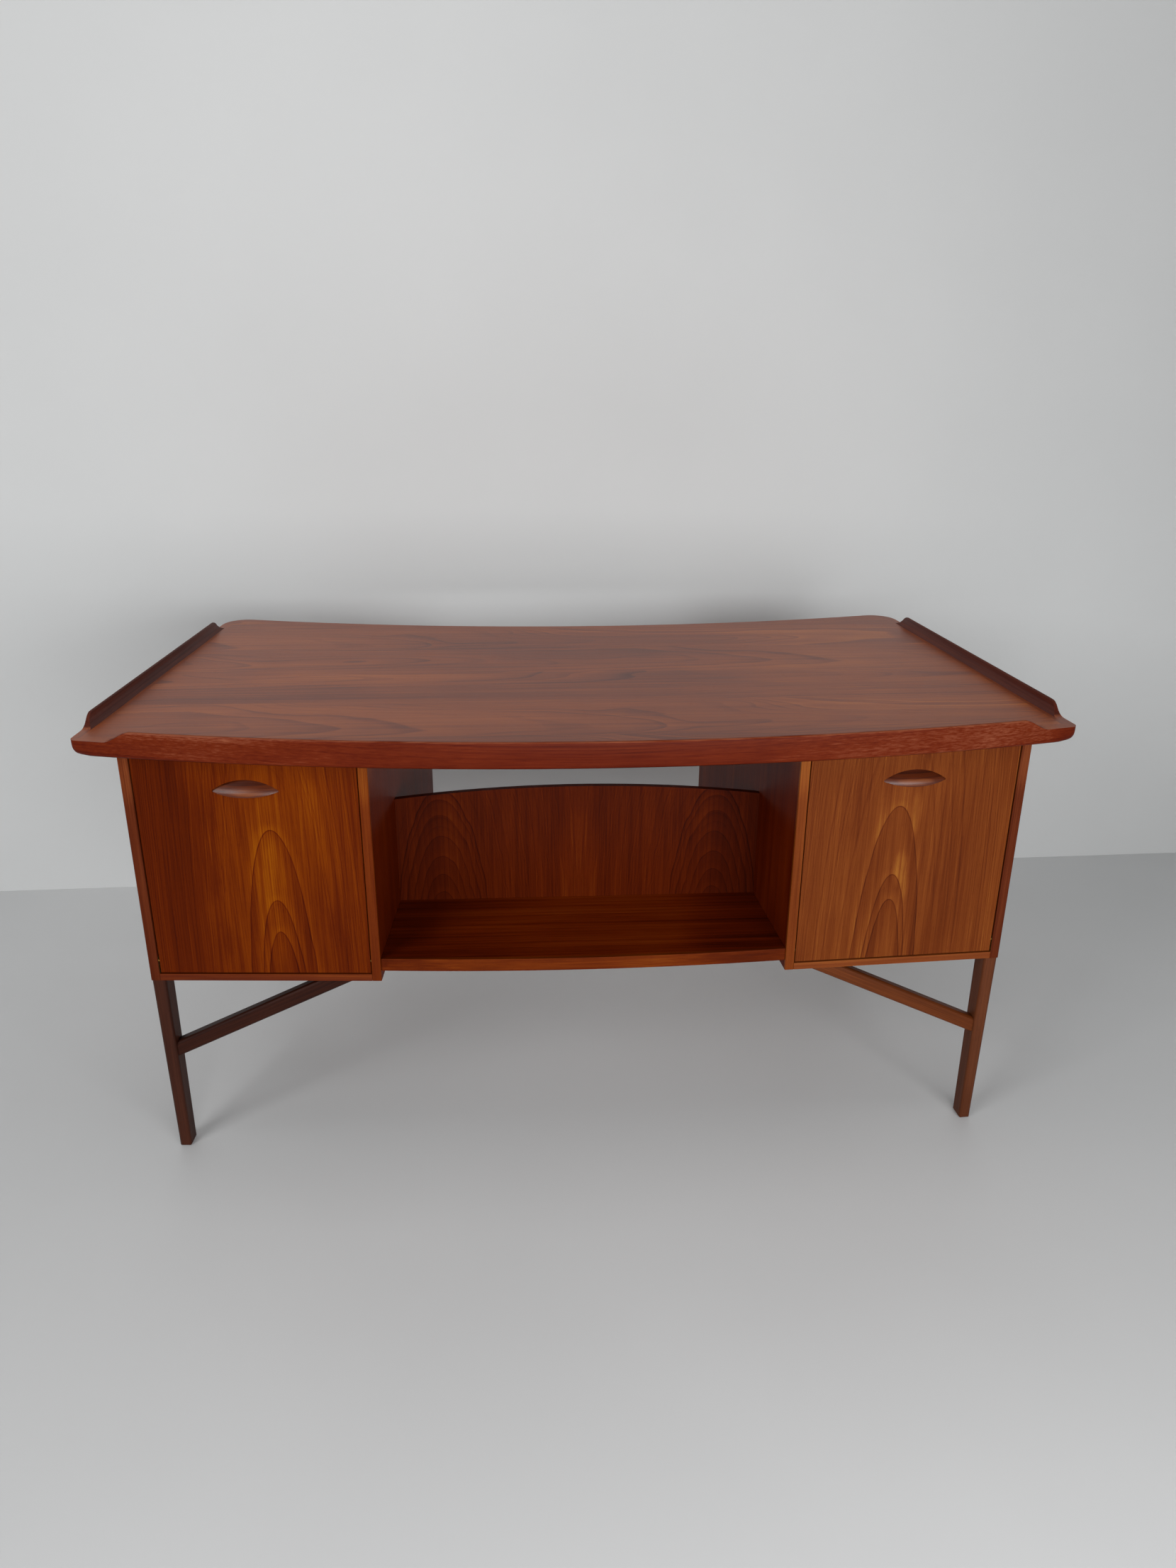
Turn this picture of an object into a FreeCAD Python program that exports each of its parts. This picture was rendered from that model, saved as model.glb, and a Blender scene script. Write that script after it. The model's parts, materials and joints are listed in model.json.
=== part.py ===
import FreeCAD, Part
import math
import os
from FreeCAD import Placement, Rotation, Vector

# Two-pedestal desk with a boat-shaped top. Millimetres, +Z up, floor at Z = 0.
# +Y runs from the visitor's side to the user's side. X = 0 is the plane of symmetry.
# While it is built, Y = 0 lies at the outer front corners of the pedestals.
# At the end everything moves along Y, so that the origin lies under the middle of the top.

# Top board
top_width = 1505.0
top_depth = 800.0
top_height = 750.0
top_thickness = 25.0
front_radius = 3111.0
rear_radius = 2620.0
rear_corner_radius = 44.0
tip_radius = 7.0
top_side_angle = 2.9
front_overhang = 31.0

# Solid wood edging round the top
edging_width = 20.0
edging_lean = 3.0
edging_bottom_radius = 6.0
edging_arris = 1.0
lip_height = 17.5
lip_crest = 7.0
lip_foot = 16.0
lip_end_run = 27.0
lip_end_inset = 78.0
gallery_height = 20.0
gallery_crest = 4.5
gallery_foot = 13.0
gallery_end_run = 45.0
gallery_front_inset = 88.0
gallery_rear_inset = 78.0
cove_mid_share = 0.3

# Pedestals
body_width = 1400.0
pedestal_width = 371.0
pedestal_depth = 680.0
pedestal_angle = 3.3
leg_height = 330.0
panel_thickness = 15.0
bottom_thickness = 12.0
partition_thickness = 12.0
cabinet_depth = 280.0
edge_ease = 0.8
rail_width = 60.0
rail_thickness = 14.0
rail_clearance = 0.3

# Drop-front doors
door_thickness = 16.0
door_gap = 2.5
door_side_gap = 1.5
pivot_setback = 5.5
pivot_height = 20.0
pin_radius = 2.5
pin_in_door = 14.0
pin_end_gap = 0.3
running_gap = 0.05
pivot_plate_thickness = 4.0
pivot_plate_width = 14.0
pivot_plate_height = 30.0
stop_clearance = 0.3
stop_thickness = 12.0
stop_width = 12.0
stop_height = 18.0
catch_width = 26.0
catch_depth = 18.0
catch_height = 9.0
roller_radius = 3.5
roller_length = 16.0
roller_reach = 2.5

# Carved eye pulls
pull_length = 100.0
pull_tip_trim = 2.0
pull_rise = 18.5
pull_drop = 8.5
pull_reach = 6.5
pull_scoop_depth = 10.0
door_pull_drop = 67.0
drawer_pull_drop = 42.0

# Shelves on cleats
shelf_thickness = 12.0
shelf_clearance = 1.0
shelf_setback = 30.0
shelf_height_share = 0.5
cleat_height = 14.0
cleat_width = 12.0
cleat_setback = 45.0
cleat_end_gap = 20.0

# Drawers
drawer_front_thickness = 16.0
drawer_side_thickness = 12.0
drawer_back_thickness = 10.0
drawer_bottom_thickness = 5.0
drawer_bottom_lift = 7.0
drawer_groove = 4.0
drawer_groove_fit = 0.1
drawer_end_gap = 6.0
drawer_side_drop = 14.0
drawer_side_lift = 5.0
drawer_height_shares = (0.38, 0.31, 0.31)
runner_height = 12.0
runner_reach = 8.0
runner_fit = 0.3
runner_height_share = 0.55

# Open bookcase between the pedestals
bookshelf_top = 369.0
bookshelf_thickness = 22.0
bookshelf_setback = 3.0
bookshelf_bow = 13.0
back_panel_face = 186.0
back_panel_thickness = 12.0
back_panel_end_height = 193.5
back_panel_rise = 19.0

# Legs, with a tenon up into the outer panel
leg_width = 22.5
leg_depth = 38.0
foot_width = 20.0
foot_depth = 31.0
foot_inset = 3.5
foot_front_inset = 2.0
leg_corner_radius = 6.0
foot_bevel = 3.0
tenon_thickness = 7.0
tenon_depth = 22.0
tenon_length = 25.0
tenon_fit = 0.1

# Braces, from the leg's inner face up to the underside of the pedestal
brace_height = 26.0
brace_depth = 22.0
brace_setback = 6.5
brace_corner_radius = 6.0
brace_slope = 25.9
brace_foot_height = 193.0
brace_tenon_height = 9.0
brace_tenon_depth = 12.0
brace_tenon_length = 11.0
stub_tenon_length = 8.0
stub_tenon_width = 30.0

# One overrun serves every cut
overrun = 1.0
same_place = 0.001

# Small round sections are made of flats: so many in a quarter turn, and so many in a cove
quarter_flats = 3
cove_flats = 3

up = Vector(0, 0, 1)
across = Vector(1, 0, 0)
back = Vector(0, 1, 0)
centre_line = Vector(0, 0, 0)

# Levels and faces that the pieces share
top_underside = top_height - top_thickness
body_bottom = leg_height
floor_of_pedestal = body_bottom + bottom_thickness
rail_bottom = top_underside - rail_thickness
clear_left = panel_thickness
clear_right = pedestal_width - panel_thickness
pedestal_middle = pedestal_width / 2
partition_back = cabinet_depth + partition_thickness


def block(x_from, x_to, y_from, y_to, z_from, z_to):
    corner = Vector(min(x_from, x_to), min(y_from, y_to), min(z_from, z_to))
    return Part.makeBox(abs(x_to - x_from), abs(y_to - y_from), abs(z_to - z_from), corner)


def arc(start, middle, end):
    return Part.Arc(start, middle, end).toShape()


def line(start, end):
    return Part.LineSegment(start, end).toShape()


def face_of(edges):
    return Part.Face(Part.Wire(edges))


def arc_points(start, middle, end, flats):
    # Points along the arc through three points, its two ends included
    curve = Part.Arc(start, middle, end).toShape()
    return curve.discretize(flats + 1)


def flat_face(points):
    return Part.Face(Part.makePolygon(points + points[:1]))


def mirrored(point):
    return Vector(-point.x, point.y, point.z)


def mirror_x(shape):
    return shape.mirror(centre_line, across)


def along(edge, direction):
    # True for a straight edge that runs in the given direction
    if edge.Curve.TypeId != "Part::GeomLine":
        return False
    return edge.Curve.Direction.cross(direction).Length < same_place


def upright_edges(shape, *planes):
    # The upright edges that lie in the planes at the given Y
    edges = [e for e in shape.Edges if along(e, up)]
    return [e for e in edges if any(abs(e.CenterOfMass.y - y) < same_place for y in planes)]


def face_edges(shape, plane):
    # The straight edges round the face at the given Y
    edges = [e for e in shape.Edges if e.Curve.TypeId == "Part::GeomLine"]
    return [e for e in edges if all(abs(v.Point.y - plane) < same_place for v in e.Vertexes)]


def rod(radius, length, start, direction):
    return Part.makeCylinder(radius, length, start, direction)


def s_curve(start, end):
    # Two equal tangent arcs from start to end, level at both ends
    run = Vector(end.x - start.x, end.y - start.y, 0)
    rise = end.z - start.z
    radius = (run.Length ** 2 + rise ** 2) / (4 * abs(rise))
    half_turn = math.atan2(abs(rise), run.Length)
    out = run.normalize() * (radius * math.sin(half_turn))
    lift = up * math.copysign(radius * (1 - math.cos(half_turn)), rise)
    middle = (start + end) * 0.5
    return [arc(start, start + out + lift, middle), arc(middle, end - out - lift, end)]


# Plan of the top: the front arc, the straight sides, the rear corners and the rear arc
half_width = top_width / 2
tip = Vector(-half_width, -front_overhang, 0)
front_middle = -front_overhang - front_radius + math.sqrt(front_radius ** 2 - half_width ** 2)
front_centre = Vector(0, front_middle + front_radius, 0)
rear_middle = front_middle + top_depth
rear_centre = Vector(0, rear_middle + rear_radius, 0)
side_angle = math.radians(top_side_angle)
side_run = Vector(math.sin(side_angle), math.cos(side_angle), 0)
side_inward = Vector(math.cos(side_angle), -math.sin(side_angle), 0)


def along_side(start, centre, reach):
    # The first point of the line from start along the side that lies at reach from centre
    offset = start - centre
    half = offset.dot(side_run)
    return start + side_run * (-half - math.sqrt(half ** 2 - offset.dot(offset) + reach ** 2))


def front_corner(inset):
    # Where the front arc and the left side, both moved inwards by inset, cross
    start = tip + side_inward * inset - side_run * front_radius * 0.5
    return along_side(start, front_centre, front_radius - inset)


corner = along_side(tip + side_inward * rear_corner_radius, rear_centre, rear_radius + rear_corner_radius)
to_rear_centre = (rear_centre - corner).normalize()
side_end = corner - side_inward * rear_corner_radius
side_length = (side_end - tip).Length
plan_middle = (front_middle + corner.y + rear_corner_radius) / 2


def top_outline(inset, z):
    # The plan of the top, moved inwards by inset
    lift = up * z
    small = rear_corner_radius - inset
    near = front_corner(inset) + lift
    side_stop = side_end + side_inward * inset + lift
    knee = corner + (to_rear_centre - side_inward).normalize() * small + lift
    rear_start = corner + to_rear_centre * small + lift
    rear_mid = Vector(0, rear_middle - inset, z)
    front_mid = Vector(0, front_middle + inset, z)
    return face_of([
        line(near, side_stop),
        arc(side_stop, knee, rear_start),
        arc(rear_start, rear_mid, mirrored(rear_start)),
        arc(mirrored(rear_start), mirrored(knee), mirrored(side_stop)),
        line(mirrored(side_stop), mirrored(near)),
        arc(mirrored(near), front_mid, near)])


def edging_section(start, outward, crest_height=0.0, crest=0.0, foot=0.0):
    # The edging's section: start lies under the arris at Z = 0, outward points off the top
    def at(out, z):
        return start + outward * out + up * z

    def quarter(centre_out, centre_z, radius, way):
        # A rounded corner about its centre, from the flat below to the side or the side to the top
        share = math.sqrt(0.5)
        mid = at(centre_out + radius * share, centre_z + way * radius * share)
        ends = [at(centre_out, centre_z + way * radius), at(centre_out + radius, centre_z)]
        points = arc_points(ends[0], mid, ends[1], quarter_flats)
        return points if way < 0 else points[::-1]

    low = top_underside
    high = top_height
    rounding = edging_bottom_radius
    bend = -edging_lean * (1 - rounding / top_thickness)
    points = [at(-edging_width, high), at(-edging_width, low)]
    points += quarter(bend - rounding, low + rounding, rounding, -1)
    if crest_height:
        half = crest / 2
        shoulder = high + crest_height - half
        cove_mid = at(-crest - (foot - crest) * cove_mid_share, high + crest_height * cove_mid_share)
        points.append(at(0, high))
        points += quarter(-half, shoulder, half, 1)
        points += arc_points(at(-half, shoulder + half), at(-half - half * math.sqrt(0.5),
                             shoulder + half * math.sqrt(0.5)), at(-crest, shoulder), quarter_flats)[1:]
        points += arc_points(at(-crest, shoulder), cove_mid, at(-foot, high), cove_flats)[1:]
    else:
        points += [at(0, high - edging_arris), at(-edging_arris, high)]
    return flat_face(points)


def rounded_tip(strip):
    # Cuts the left tip of the top round in plan
    centre = front_corner(tip_radius)
    on_side = centre - side_inward * tip_radius
    outwards = (centre - front_centre).normalize()
    on_front = centre + outwards * tip_radius
    nose = centre + (outwards - side_inward).normalize() * tip_radius
    beyond = centre + (nose - centre) * tip_radius
    waste = face_of([arc(on_side, nose, on_front), line(on_front, beyond), line(beyond, on_side)])
    return strip.cut(waste.extrude(up * (top_height + lip_height)))


def mitre_cutter(way):
    # A block on one side of the mitre plane at the left tip
    mitre = (front_corner(edging_width) - tip).normalize()
    reach = edging_width * 4
    away = up.cross(mitre) * reach * way
    start = tip - mitre * reach
    end = tip + mitre * reach
    return flat_face([start, end, end + away, start + away]).extrude(up * (top_height + reach))


def end_cutter(crest_end, foot_end, beyond, through):
    # What lies above the S-shaped run from the crest down to the flat end
    lift = up * overrun
    edges = s_curve(crest_end, foot_end)
    edges += [line(foot_end, beyond),
              line(beyond, Vector(beyond.x, beyond.y, crest_end.z) + lift),
              line(Vector(beyond.x, beyond.y, crest_end.z) + lift, crest_end + lift),
              line(crest_end + lift, crest_end)]
    return face_of(edges).extrude(through)


def front_edging():
    # The visitor's edge with its raised lip, turned about the front arc's centre
    section = edging_section(Vector(0, front_middle, 0), -back, lip_height, lip_crest, lip_foot)
    sweep = math.degrees(math.asin((half_width + edging_width) / front_radius))
    section.rotate(front_centre, up, -sweep)
    strip = section.revolve(front_centre, up, sweep * 2)
    crest_end = Vector(lip_end_inset - half_width, -top_depth, top_height + lip_height)
    foot_end = Vector(crest_end.x - lip_end_run, -top_depth, top_height)
    beyond = Vector(-top_width, -top_depth, top_height)
    for cutter in (end_cutter(crest_end, foot_end, beyond, back * top_depth * 2), mitre_cutter(1)):
        strip = strip.cut(cutter).cut(mirror_x(cutter))
    return mirror_x(rounded_tip(mirror_x(rounded_tip(strip)))).removeSplitter()


def side_edging():
    # The left edge with its gallery, straight from the tip to the rear corner
    start = tip - side_run * edging_width
    section = edging_section(start, -side_inward, gallery_height, gallery_crest, gallery_foot)
    strip = section.extrude(side_end - start)
    crest_z = top_height + gallery_height
    aside = tip - side_inward * edging_width
    for place, way in ((gallery_front_inset, -1), (side_length - gallery_rear_inset, 1)):
        crest_end = aside + side_run * place + up * crest_z
        foot_end = aside + side_run * (place + way * gallery_end_run) + up * top_height
        beyond = foot_end + side_run * way * (gallery_front_inset + gallery_rear_inset)
        strip = strip.cut(end_cutter(crest_end, foot_end, beyond, side_inward * edging_width * 3))
    return rounded_tip(strip.cut(mitre_cutter(-1))).removeSplitter()


def rear_edging():
    # The user's edge: the rear arc with its two rounded corners, in one bent strip
    section = edging_section(Vector(0, rear_middle, 0), back)
    half_sweep = math.degrees(math.atan2(-corner.x, rear_centre.y - corner.y))
    section.rotate(rear_centre, up, -half_sweep)
    rear = section.revolve(rear_centre, up, half_sweep * 2)
    turn = math.degrees(to_rear_centre.getAngle(-side_inward))
    bend = edging_section(side_end, -side_inward).revolve(corner, -up, turn)
    return rear.fuse([bend, mirror_x(bend)]).removeSplitter()


# Carved pull. Each point of its section is a pair of shares: of the lip's reach or the
# bowl's depth, and of the drop or the rise.
pull_section_shares = ((0.0, -1.0), (-0.95, -0.7), (-0.85, 0.0), (0.8, 0.5), (1.0, 1.2))


def eye_block(start, length):
    # The lens of a pull, drawn round its own middle, from start back along Y, its tips cut blunt
    half = pull_length / 2 + pull_tip_trim
    left = Vector(-half, start, 0)
    right = Vector(half, start, 0)
    top = arc(left, Vector(0, start, pull_rise), right)
    bottom = arc(right, Vector(0, start, -pull_drop), left)
    lens = face_of([top, bottom]).extrude(back * length)
    return lens.common(block(-pull_length / 2, pull_length / 2, start, start + length, -pull_rise, pull_rise))


def eye_hole(thickness):
    return eye_block(-overrun, thickness + overrun * 2)


def pull(thickness):
    # A lens of solid wood, turned about an upright axis so that the lip swells in the middle
    points = []
    for depth_share, height_share in pull_section_shares:
        depth = depth_share * (pull_scoop_depth if depth_share > 0 else pull_reach)
        height = height_share * (pull_rise if height_share > 0 else pull_drop)
        points.append(Vector(0, depth, height))
    far = back * (thickness * 2)
    top = Vector(0, 0, points[-1].z)
    bottom = points[0] - up * pull_drop
    section = flat_face([bottom] + points + [top + far, bottom + far])
    half = pull_length / 2
    swell_radius = (half ** 2 + pull_reach ** 2) / (2 * pull_reach)
    axis = back * (swell_radius - pull_reach)
    sweep = math.degrees(math.asin((half + pull_reach) / swell_radius))
    section.rotate(axis, up, -sweep)
    body = section.revolve(axis, up, sweep * 2)
    return eye_block(-pull_reach * 2, thickness + pull_reach * 2).common(body)


# Everything in a pedestal is drawn for the left one: X from its outer face,
# Y back from its front, and Z from the floor. It is then turned and moved to its place.
pedestal_place = Placement(Vector(-body_width / 2, 0, 0), Rotation(up, -pedestal_angle))

# The door and its pivots
door_left = clear_left + door_side_gap
door_right = clear_right - door_side_gap
door_bottom = floor_of_pedestal + door_gap
door_top = top_underside - door_gap
door_pull_point = Vector(pedestal_middle, 0, top_underside - door_pull_drop)
pivot_z = door_bottom + pivot_height
pivot_points = ((Vector(door_left, pivot_setback, pivot_z), -across),
                (Vector(door_right, pivot_setback, pivot_z), across))


def door():
    slab = block(door_left, door_right, 0, door_thickness, door_bottom, door_top)
    slab = slab.makeChamfer(edge_ease, face_edges(slab, 0))
    slab = slab.cut(eye_hole(door_thickness).translated(door_pull_point))
    for point, outward in pivot_points:
        slab = slab.cut(rod(pin_radius, pin_in_door + overrun, point + outward * overrun, -outward))
    return slab


def door_pull():
    return pull(door_thickness).translated(door_pull_point)


def door_pins():
    # Fixed in the door's ends, they turn in the plates
    reach = door_side_gap + pivot_plate_thickness - pin_end_gap
    return Part.makeCompound([rod(pin_radius, reach + pin_in_door, p + outward * reach, -outward)
                              for p, outward in pivot_points])


def pivot_plate(point, outward):
    # A brass plate let in flush, its lower end on the floor of the pedestal
    face = point.x + outward.x * door_side_gap
    half = pivot_plate_width / 2
    plate = block(face, face + outward.x * pivot_plate_thickness, point.y - half, point.y + half,
                  floor_of_pedestal, floor_of_pedestal + pivot_plate_height)
    return plate.translated(back * (half - pivot_setback + overrun))


def pivot_plates():
    plates = []
    for point, outward in pivot_points:
        bore = rod(pin_radius + running_gap, pivot_plate_thickness + overrun * 2,
                   point + outward * (door_side_gap - overrun), outward)
        plates.append(pivot_plate(point, outward).cut(bore))
    return Part.makeCompound(plates)


def flap_stops():
    # Blocks that the door's tail comes up against when it lies level
    low = pivot_z + door_thickness - pivot_setback + stop_clearance
    front = door_thickness + rail_clearance
    stops = [block(face, face + way * stop_width, front, front + stop_thickness, low, low + stop_height)
             for face, way in ((clear_left, 1), (clear_right, -1))]
    return Part.makeCompound(stops)


def door_catch():
    # A roller in a housing under the front rail
    front = door_thickness + stop_clearance
    housing_front = front + roller_reach
    half = catch_width / 2
    low = rail_bottom - catch_height
    housing = block(pedestal_middle - half, pedestal_middle + half, housing_front,
                    housing_front + catch_depth, low, rail_bottom)
    start = Vector(pedestal_middle - roller_length / 2, front + roller_radius, low + catch_height / 2)
    return housing.fuse(rod(roller_radius, roller_length, start, across)).removeSplitter()


# Legs: a tapered rounded bar under each end of the outer panel
tenon_start = (panel_thickness - tenon_thickness) / 2
tenon_front = (leg_depth - tenon_depth) / 2


def rectangle(x_from, x_to, y_from, y_to, z):
    return [Vector(x_from, y_from, z), Vector(x_to, y_from, z),
            Vector(x_to, y_to, z), Vector(x_from, y_to, z)]


def leg_tenon(fit):
    return block(tenon_start - fit, tenon_start + tenon_thickness + fit, tenon_front - fit,
                 tenon_front + tenon_depth + fit, body_bottom - overrun, body_bottom + tenon_length + fit)


def foot_rectangle(grow, z):
    return rectangle(foot_inset - grow, foot_inset + foot_width + grow,
                     foot_front_inset - grow, foot_front_inset + foot_depth + grow, z)


def tapered_bar(sole, head):
    sides = [flat_face([sole[i - 1], sole[i], head[i], head[i - 1]]) for i in range(len(sole))]
    return Part.makeSolid(Part.makeShell(sides + [flat_face(sole), flat_face(head)]))


def leg_bar():
    bar = tapered_bar(foot_rectangle(0, 0), rectangle(0, leg_width, 0, leg_depth, body_bottom))
    return bar.makeFillet(leg_corner_radius, [e for e in bar.Edges if e.BoundBox.ZLength > leg_depth])


brace_angle = math.radians(brace_slope)
brace_run = Vector(math.cos(brace_angle), 0, math.sin(brace_angle))
brace_normal = Vector(-math.sin(brace_angle), 0, math.cos(brace_angle))
brace_end = Vector(leg_width, brace_setback + brace_depth / 2, brace_foot_height)


def brace_bar(height, depth, start, length):
    # A bar along the brace's slope, its axis from start
    low = start - brace_normal * (height / 2) - back * (depth / 2)
    section = flat_face([low, low + back * depth, low + back * depth + brace_normal * height,
                         low + brace_normal * height])
    return section.extrude(brace_run * length)


def brace_tenon(fit):
    start = brace_end - brace_run * (brace_tenon_length + fit)
    return brace_bar(brace_tenon_height + fit * 2, brace_tenon_depth + fit * 2, start,
                     brace_tenon_length * 2)


def front_leg():
    # The sole's edges are bevelled by a funnel that widens upwards from it
    funnel = tapered_bar(foot_rectangle(-foot_bevel, 0),
                         foot_rectangle(body_bottom - foot_bevel, body_bottom))
    bar = leg_bar().common(funnel).cut(brace_tenon(tenon_fit))
    return bar.fuse(leg_tenon(0)).removeSplitter()


def front_brace():
    start = brace_end - brace_run * (leg_width / 2)
    length = (body_bottom - brace_foot_height) / math.sin(brace_angle) + brace_height * 4
    bar = brace_bar(brace_height, brace_depth, start, length)
    bar = bar.makeFillet(brace_corner_radius, [e for e in bar.Edges if along(e, brace_run)])
    room = block(0, pedestal_width, 0, leg_depth, 0, body_bottom)
    outside = bar.common(room).cut(leg_bar())
    return outside.fuse([brace_tenon(0), stub_tenon(0)]).removeSplitter()


def to_rear(shape):
    return shape.mirror(back * (pedestal_depth / 2), back)


brace_top_x = leg_width + (body_bottom - brace_foot_height) / math.tan(brace_angle)


def stub_tenon(fit):
    # The tenon at the brace's upper end, up into the bottom panel
    half_width = stub_tenon_width / 2 + fit
    half_depth = brace_tenon_depth / 2 + fit
    return block(brace_top_x - half_width, brace_top_x + half_width, brace_end.y - half_depth,
                 brace_end.y + half_depth, body_bottom - overrun, body_bottom + stub_tenon_length + fit)


# Rails under the top
front_rail = door_thickness + rail_clearance
rear_rail = pedestal_depth - drawer_front_thickness - rail_clearance - rail_width


def top_rails():
    return Part.makeCompound([block(clear_left, clear_right, y, y + rail_width, rail_bottom, top_underside)
                              for y in (front_rail, rear_rail)])


# Carcass of a pedestal
shelf_low = floor_of_pedestal + (rail_bottom - floor_of_pedestal) * shelf_height_share


def cabinet_shelf():
    slab = block(clear_left + shelf_clearance, clear_right - shelf_clearance,
                 shelf_setback, cabinet_depth - shelf_clearance, shelf_low, shelf_low + shelf_thickness)
    return slab.makeChamfer(edge_ease, face_edges(slab, shelf_setback))


def cabinet_cleats():
    return Part.makeCompound([
        block(face, face + way * cleat_width, cleat_setback, cabinet_depth - cleat_end_gap,
              shelf_low - cleat_height, shelf_low)
        for face, way in ((clear_left, 1), (clear_right, -1))])


def side_panel(outer, inner):
    # A side panel with the recess of its pivot plate
    panel = block(outer, inner, 0, pedestal_depth, body_bottom, top_underside)
    panel = panel.makeChamfer(edge_ease, upright_edges(panel, 0, pedestal_depth))
    for point, outward in pivot_points:
        panel = panel.cut(pivot_plate(point, outward))
    return panel


def outer_panel():
    mortise = leg_tenon(tenon_fit)
    return side_panel(0, clear_left).cut(mortise).cut(to_rear(mortise))


def inner_panel():
    return side_panel(clear_right, pedestal_width)


def bottom_panel():
    panel = block(clear_left, clear_right, 0, pedestal_depth, body_bottom, floor_of_pedestal)
    mortise = stub_tenon(tenon_fit)
    return panel.cut(mortise).cut(to_rear(mortise))


def partition():
    return block(clear_left, clear_right, cabinet_depth, partition_back, floor_of_pedestal, top_underside)


# Drawers open towards the user's side, so their fronts lie at the back of the pedestal
drawer_left = clear_left + door_side_gap
drawer_right = clear_right - door_side_gap
drawer_front_inner = pedestal_depth - drawer_front_thickness
drawer_back_start = partition_back + drawer_end_gap
drawer_names = ("lower_drawer", "middle_drawer", "upper_drawer")


def drawer_levels():
    # The lowest and highest Z of each drawer front, lowest drawer first
    room = top_underside - floor_of_pedestal - door_gap * (len(drawer_height_shares) + 1)
    levels = []
    z = floor_of_pedestal + door_gap
    for share in drawer_height_shares:
        levels.append((z, z + room * share))
        z += room * share + door_gap
    return levels


def side_levels(low, high):
    # A drawer's sides stay clear of the rail above and the panel below
    return low + drawer_side_lift, min(high, rail_bottom) - drawer_side_drop


def runner_level(low, high):
    side_low, side_high = side_levels(low, high)
    return side_low + (side_high - side_low) * runner_height_share


def drawer_bottom(low, fit):
    reach = drawer_side_thickness - drawer_groove - fit
    z = low + drawer_side_lift + drawer_bottom_lift
    return block(drawer_left + reach, drawer_right - reach, drawer_back_start - fit,
                 drawer_front_inner + drawer_groove + fit, z - fit, z + drawer_bottom_thickness + fit)


def pull_point(high):
    return Vector(pedestal_middle, pedestal_depth, high - drawer_pull_drop)


def faced_back(shape):
    return shape.rotated(centre_line, up, 180)


def drawer_front(low, high):
    slab = block(drawer_left, drawer_right, drawer_front_inner, pedestal_depth, low, high)
    slab = slab.makeChamfer(edge_ease, face_edges(slab, pedestal_depth))
    slab = slab.cut(faced_back(eye_hole(drawer_front_thickness)).translated(pull_point(high)))
    return slab.cut(drawer_bottom(low, drawer_groove_fit))


def drawer_pull(low, high):
    return faced_back(pull(drawer_front_thickness)).translated(pull_point(high))


def drawer_box(low, high):
    # Two grooved sides, a back and a bottom, each a solid of its own
    side_low, side_high = side_levels(low, high)
    run_z = runner_level(low, high)
    bottom_groove = drawer_bottom(low, drawer_groove_fit)
    groove_depth = runner_reach - door_side_gap + runner_fit
    pieces = [drawer_bottom(low, 0)]
    for outer, way in ((drawer_left, 1), (drawer_right, -1)):
        side = block(outer, outer + way * drawer_side_thickness, drawer_back_start, drawer_front_inner,
                     side_low, side_high)
        groove = block(outer - way * overrun, outer + way * groove_depth,
                       drawer_back_start - overrun, drawer_front_inner + overrun,
                       run_z - runner_fit, run_z + runner_height + runner_fit)
        pieces.append(side.cut(groove).cut(bottom_groove))
    pieces.append(block(drawer_left + drawer_side_thickness, drawer_right - drawer_side_thickness,
                        drawer_back_start, drawer_back_start + drawer_back_thickness,
                        bottom_groove.BoundBox.ZMax, side_high))
    return Part.makeCompound(pieces)


def drawer_runners():
    # Hardwood strips on the side panels, which carry the drawers in their side grooves
    strips = []
    for low, high in drawer_levels():
        z = runner_level(low, high)
        for face, way in ((clear_left, 1), (clear_right, -1)):
            strips.append(block(face, face + way * runner_reach, partition_back,
                                drawer_front_inner - runner_fit, z, z + runner_height))
    return Part.makeCompound(strips)


# The bookcase between the pedestals
def on_inner_face(y, z):
    # The point of the left pedestal's inner face at a given Y
    start = pedestal_place.multVec(Vector(pedestal_width, 0, z))
    run = pedestal_place.Rotation.multVec(back)
    return start + run * ((y - start.y) / run.y)


bookshelf_low = bookshelf_top - bookshelf_thickness
bookshelf_front = pedestal_place.multVec(Vector(pedestal_width, bookshelf_setback, bookshelf_low))


def bookshelf():
    # A board with a bowed front edge, as deep as the back panel
    rear = on_inner_face(back_panel_face + back_panel_thickness, bookshelf_low)
    middle = Vector(0, bookshelf_front.y - bookshelf_bow, bookshelf_low)
    front = bookshelf_front
    board = face_of([arc(front, middle, mirrored(front)), line(mirrored(front), mirrored(rear)),
                     line(mirrored(rear), rear), line(rear, front)])
    return board.extrude(up * bookshelf_thickness)


def bookshelf_cleats():
    # Strips under the shelf, on the pedestals' inner panels
    low = bookshelf_low - cleat_height
    front = on_inner_face(bookshelf_front.y + cleat_setback, low)
    rear = on_inner_face(back_panel_face, low)
    strip = flat_face([front, rear, rear + across * cleat_width, front + across * cleat_width])
    strip = strip.extrude(up * cleat_height)
    return Part.makeCompound([strip, mirror_x(strip)])


def bookcase_back():
    # A flat panel with an arched top, standing on the shelf
    low = on_inner_face(back_panel_face, bookshelf_top)
    rear_low = on_inner_face(back_panel_face + back_panel_thickness, bookshelf_top)
    crown = Vector(0, back_panel_face, bookshelf_top + back_panel_end_height + back_panel_rise)
    high = low + up * back_panel_end_height
    arch = face_of([line(low, high), arc(high, crown, mirrored(high)),
                    line(mirrored(high), mirrored(low)), line(mirrored(low), low)])
    plan = flat_face([low, rear_low, mirrored(rear_low), mirrored(low)])
    return arch.extrude(back * back_panel_thickness).common(plan.extrude(up * top_height))


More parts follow.
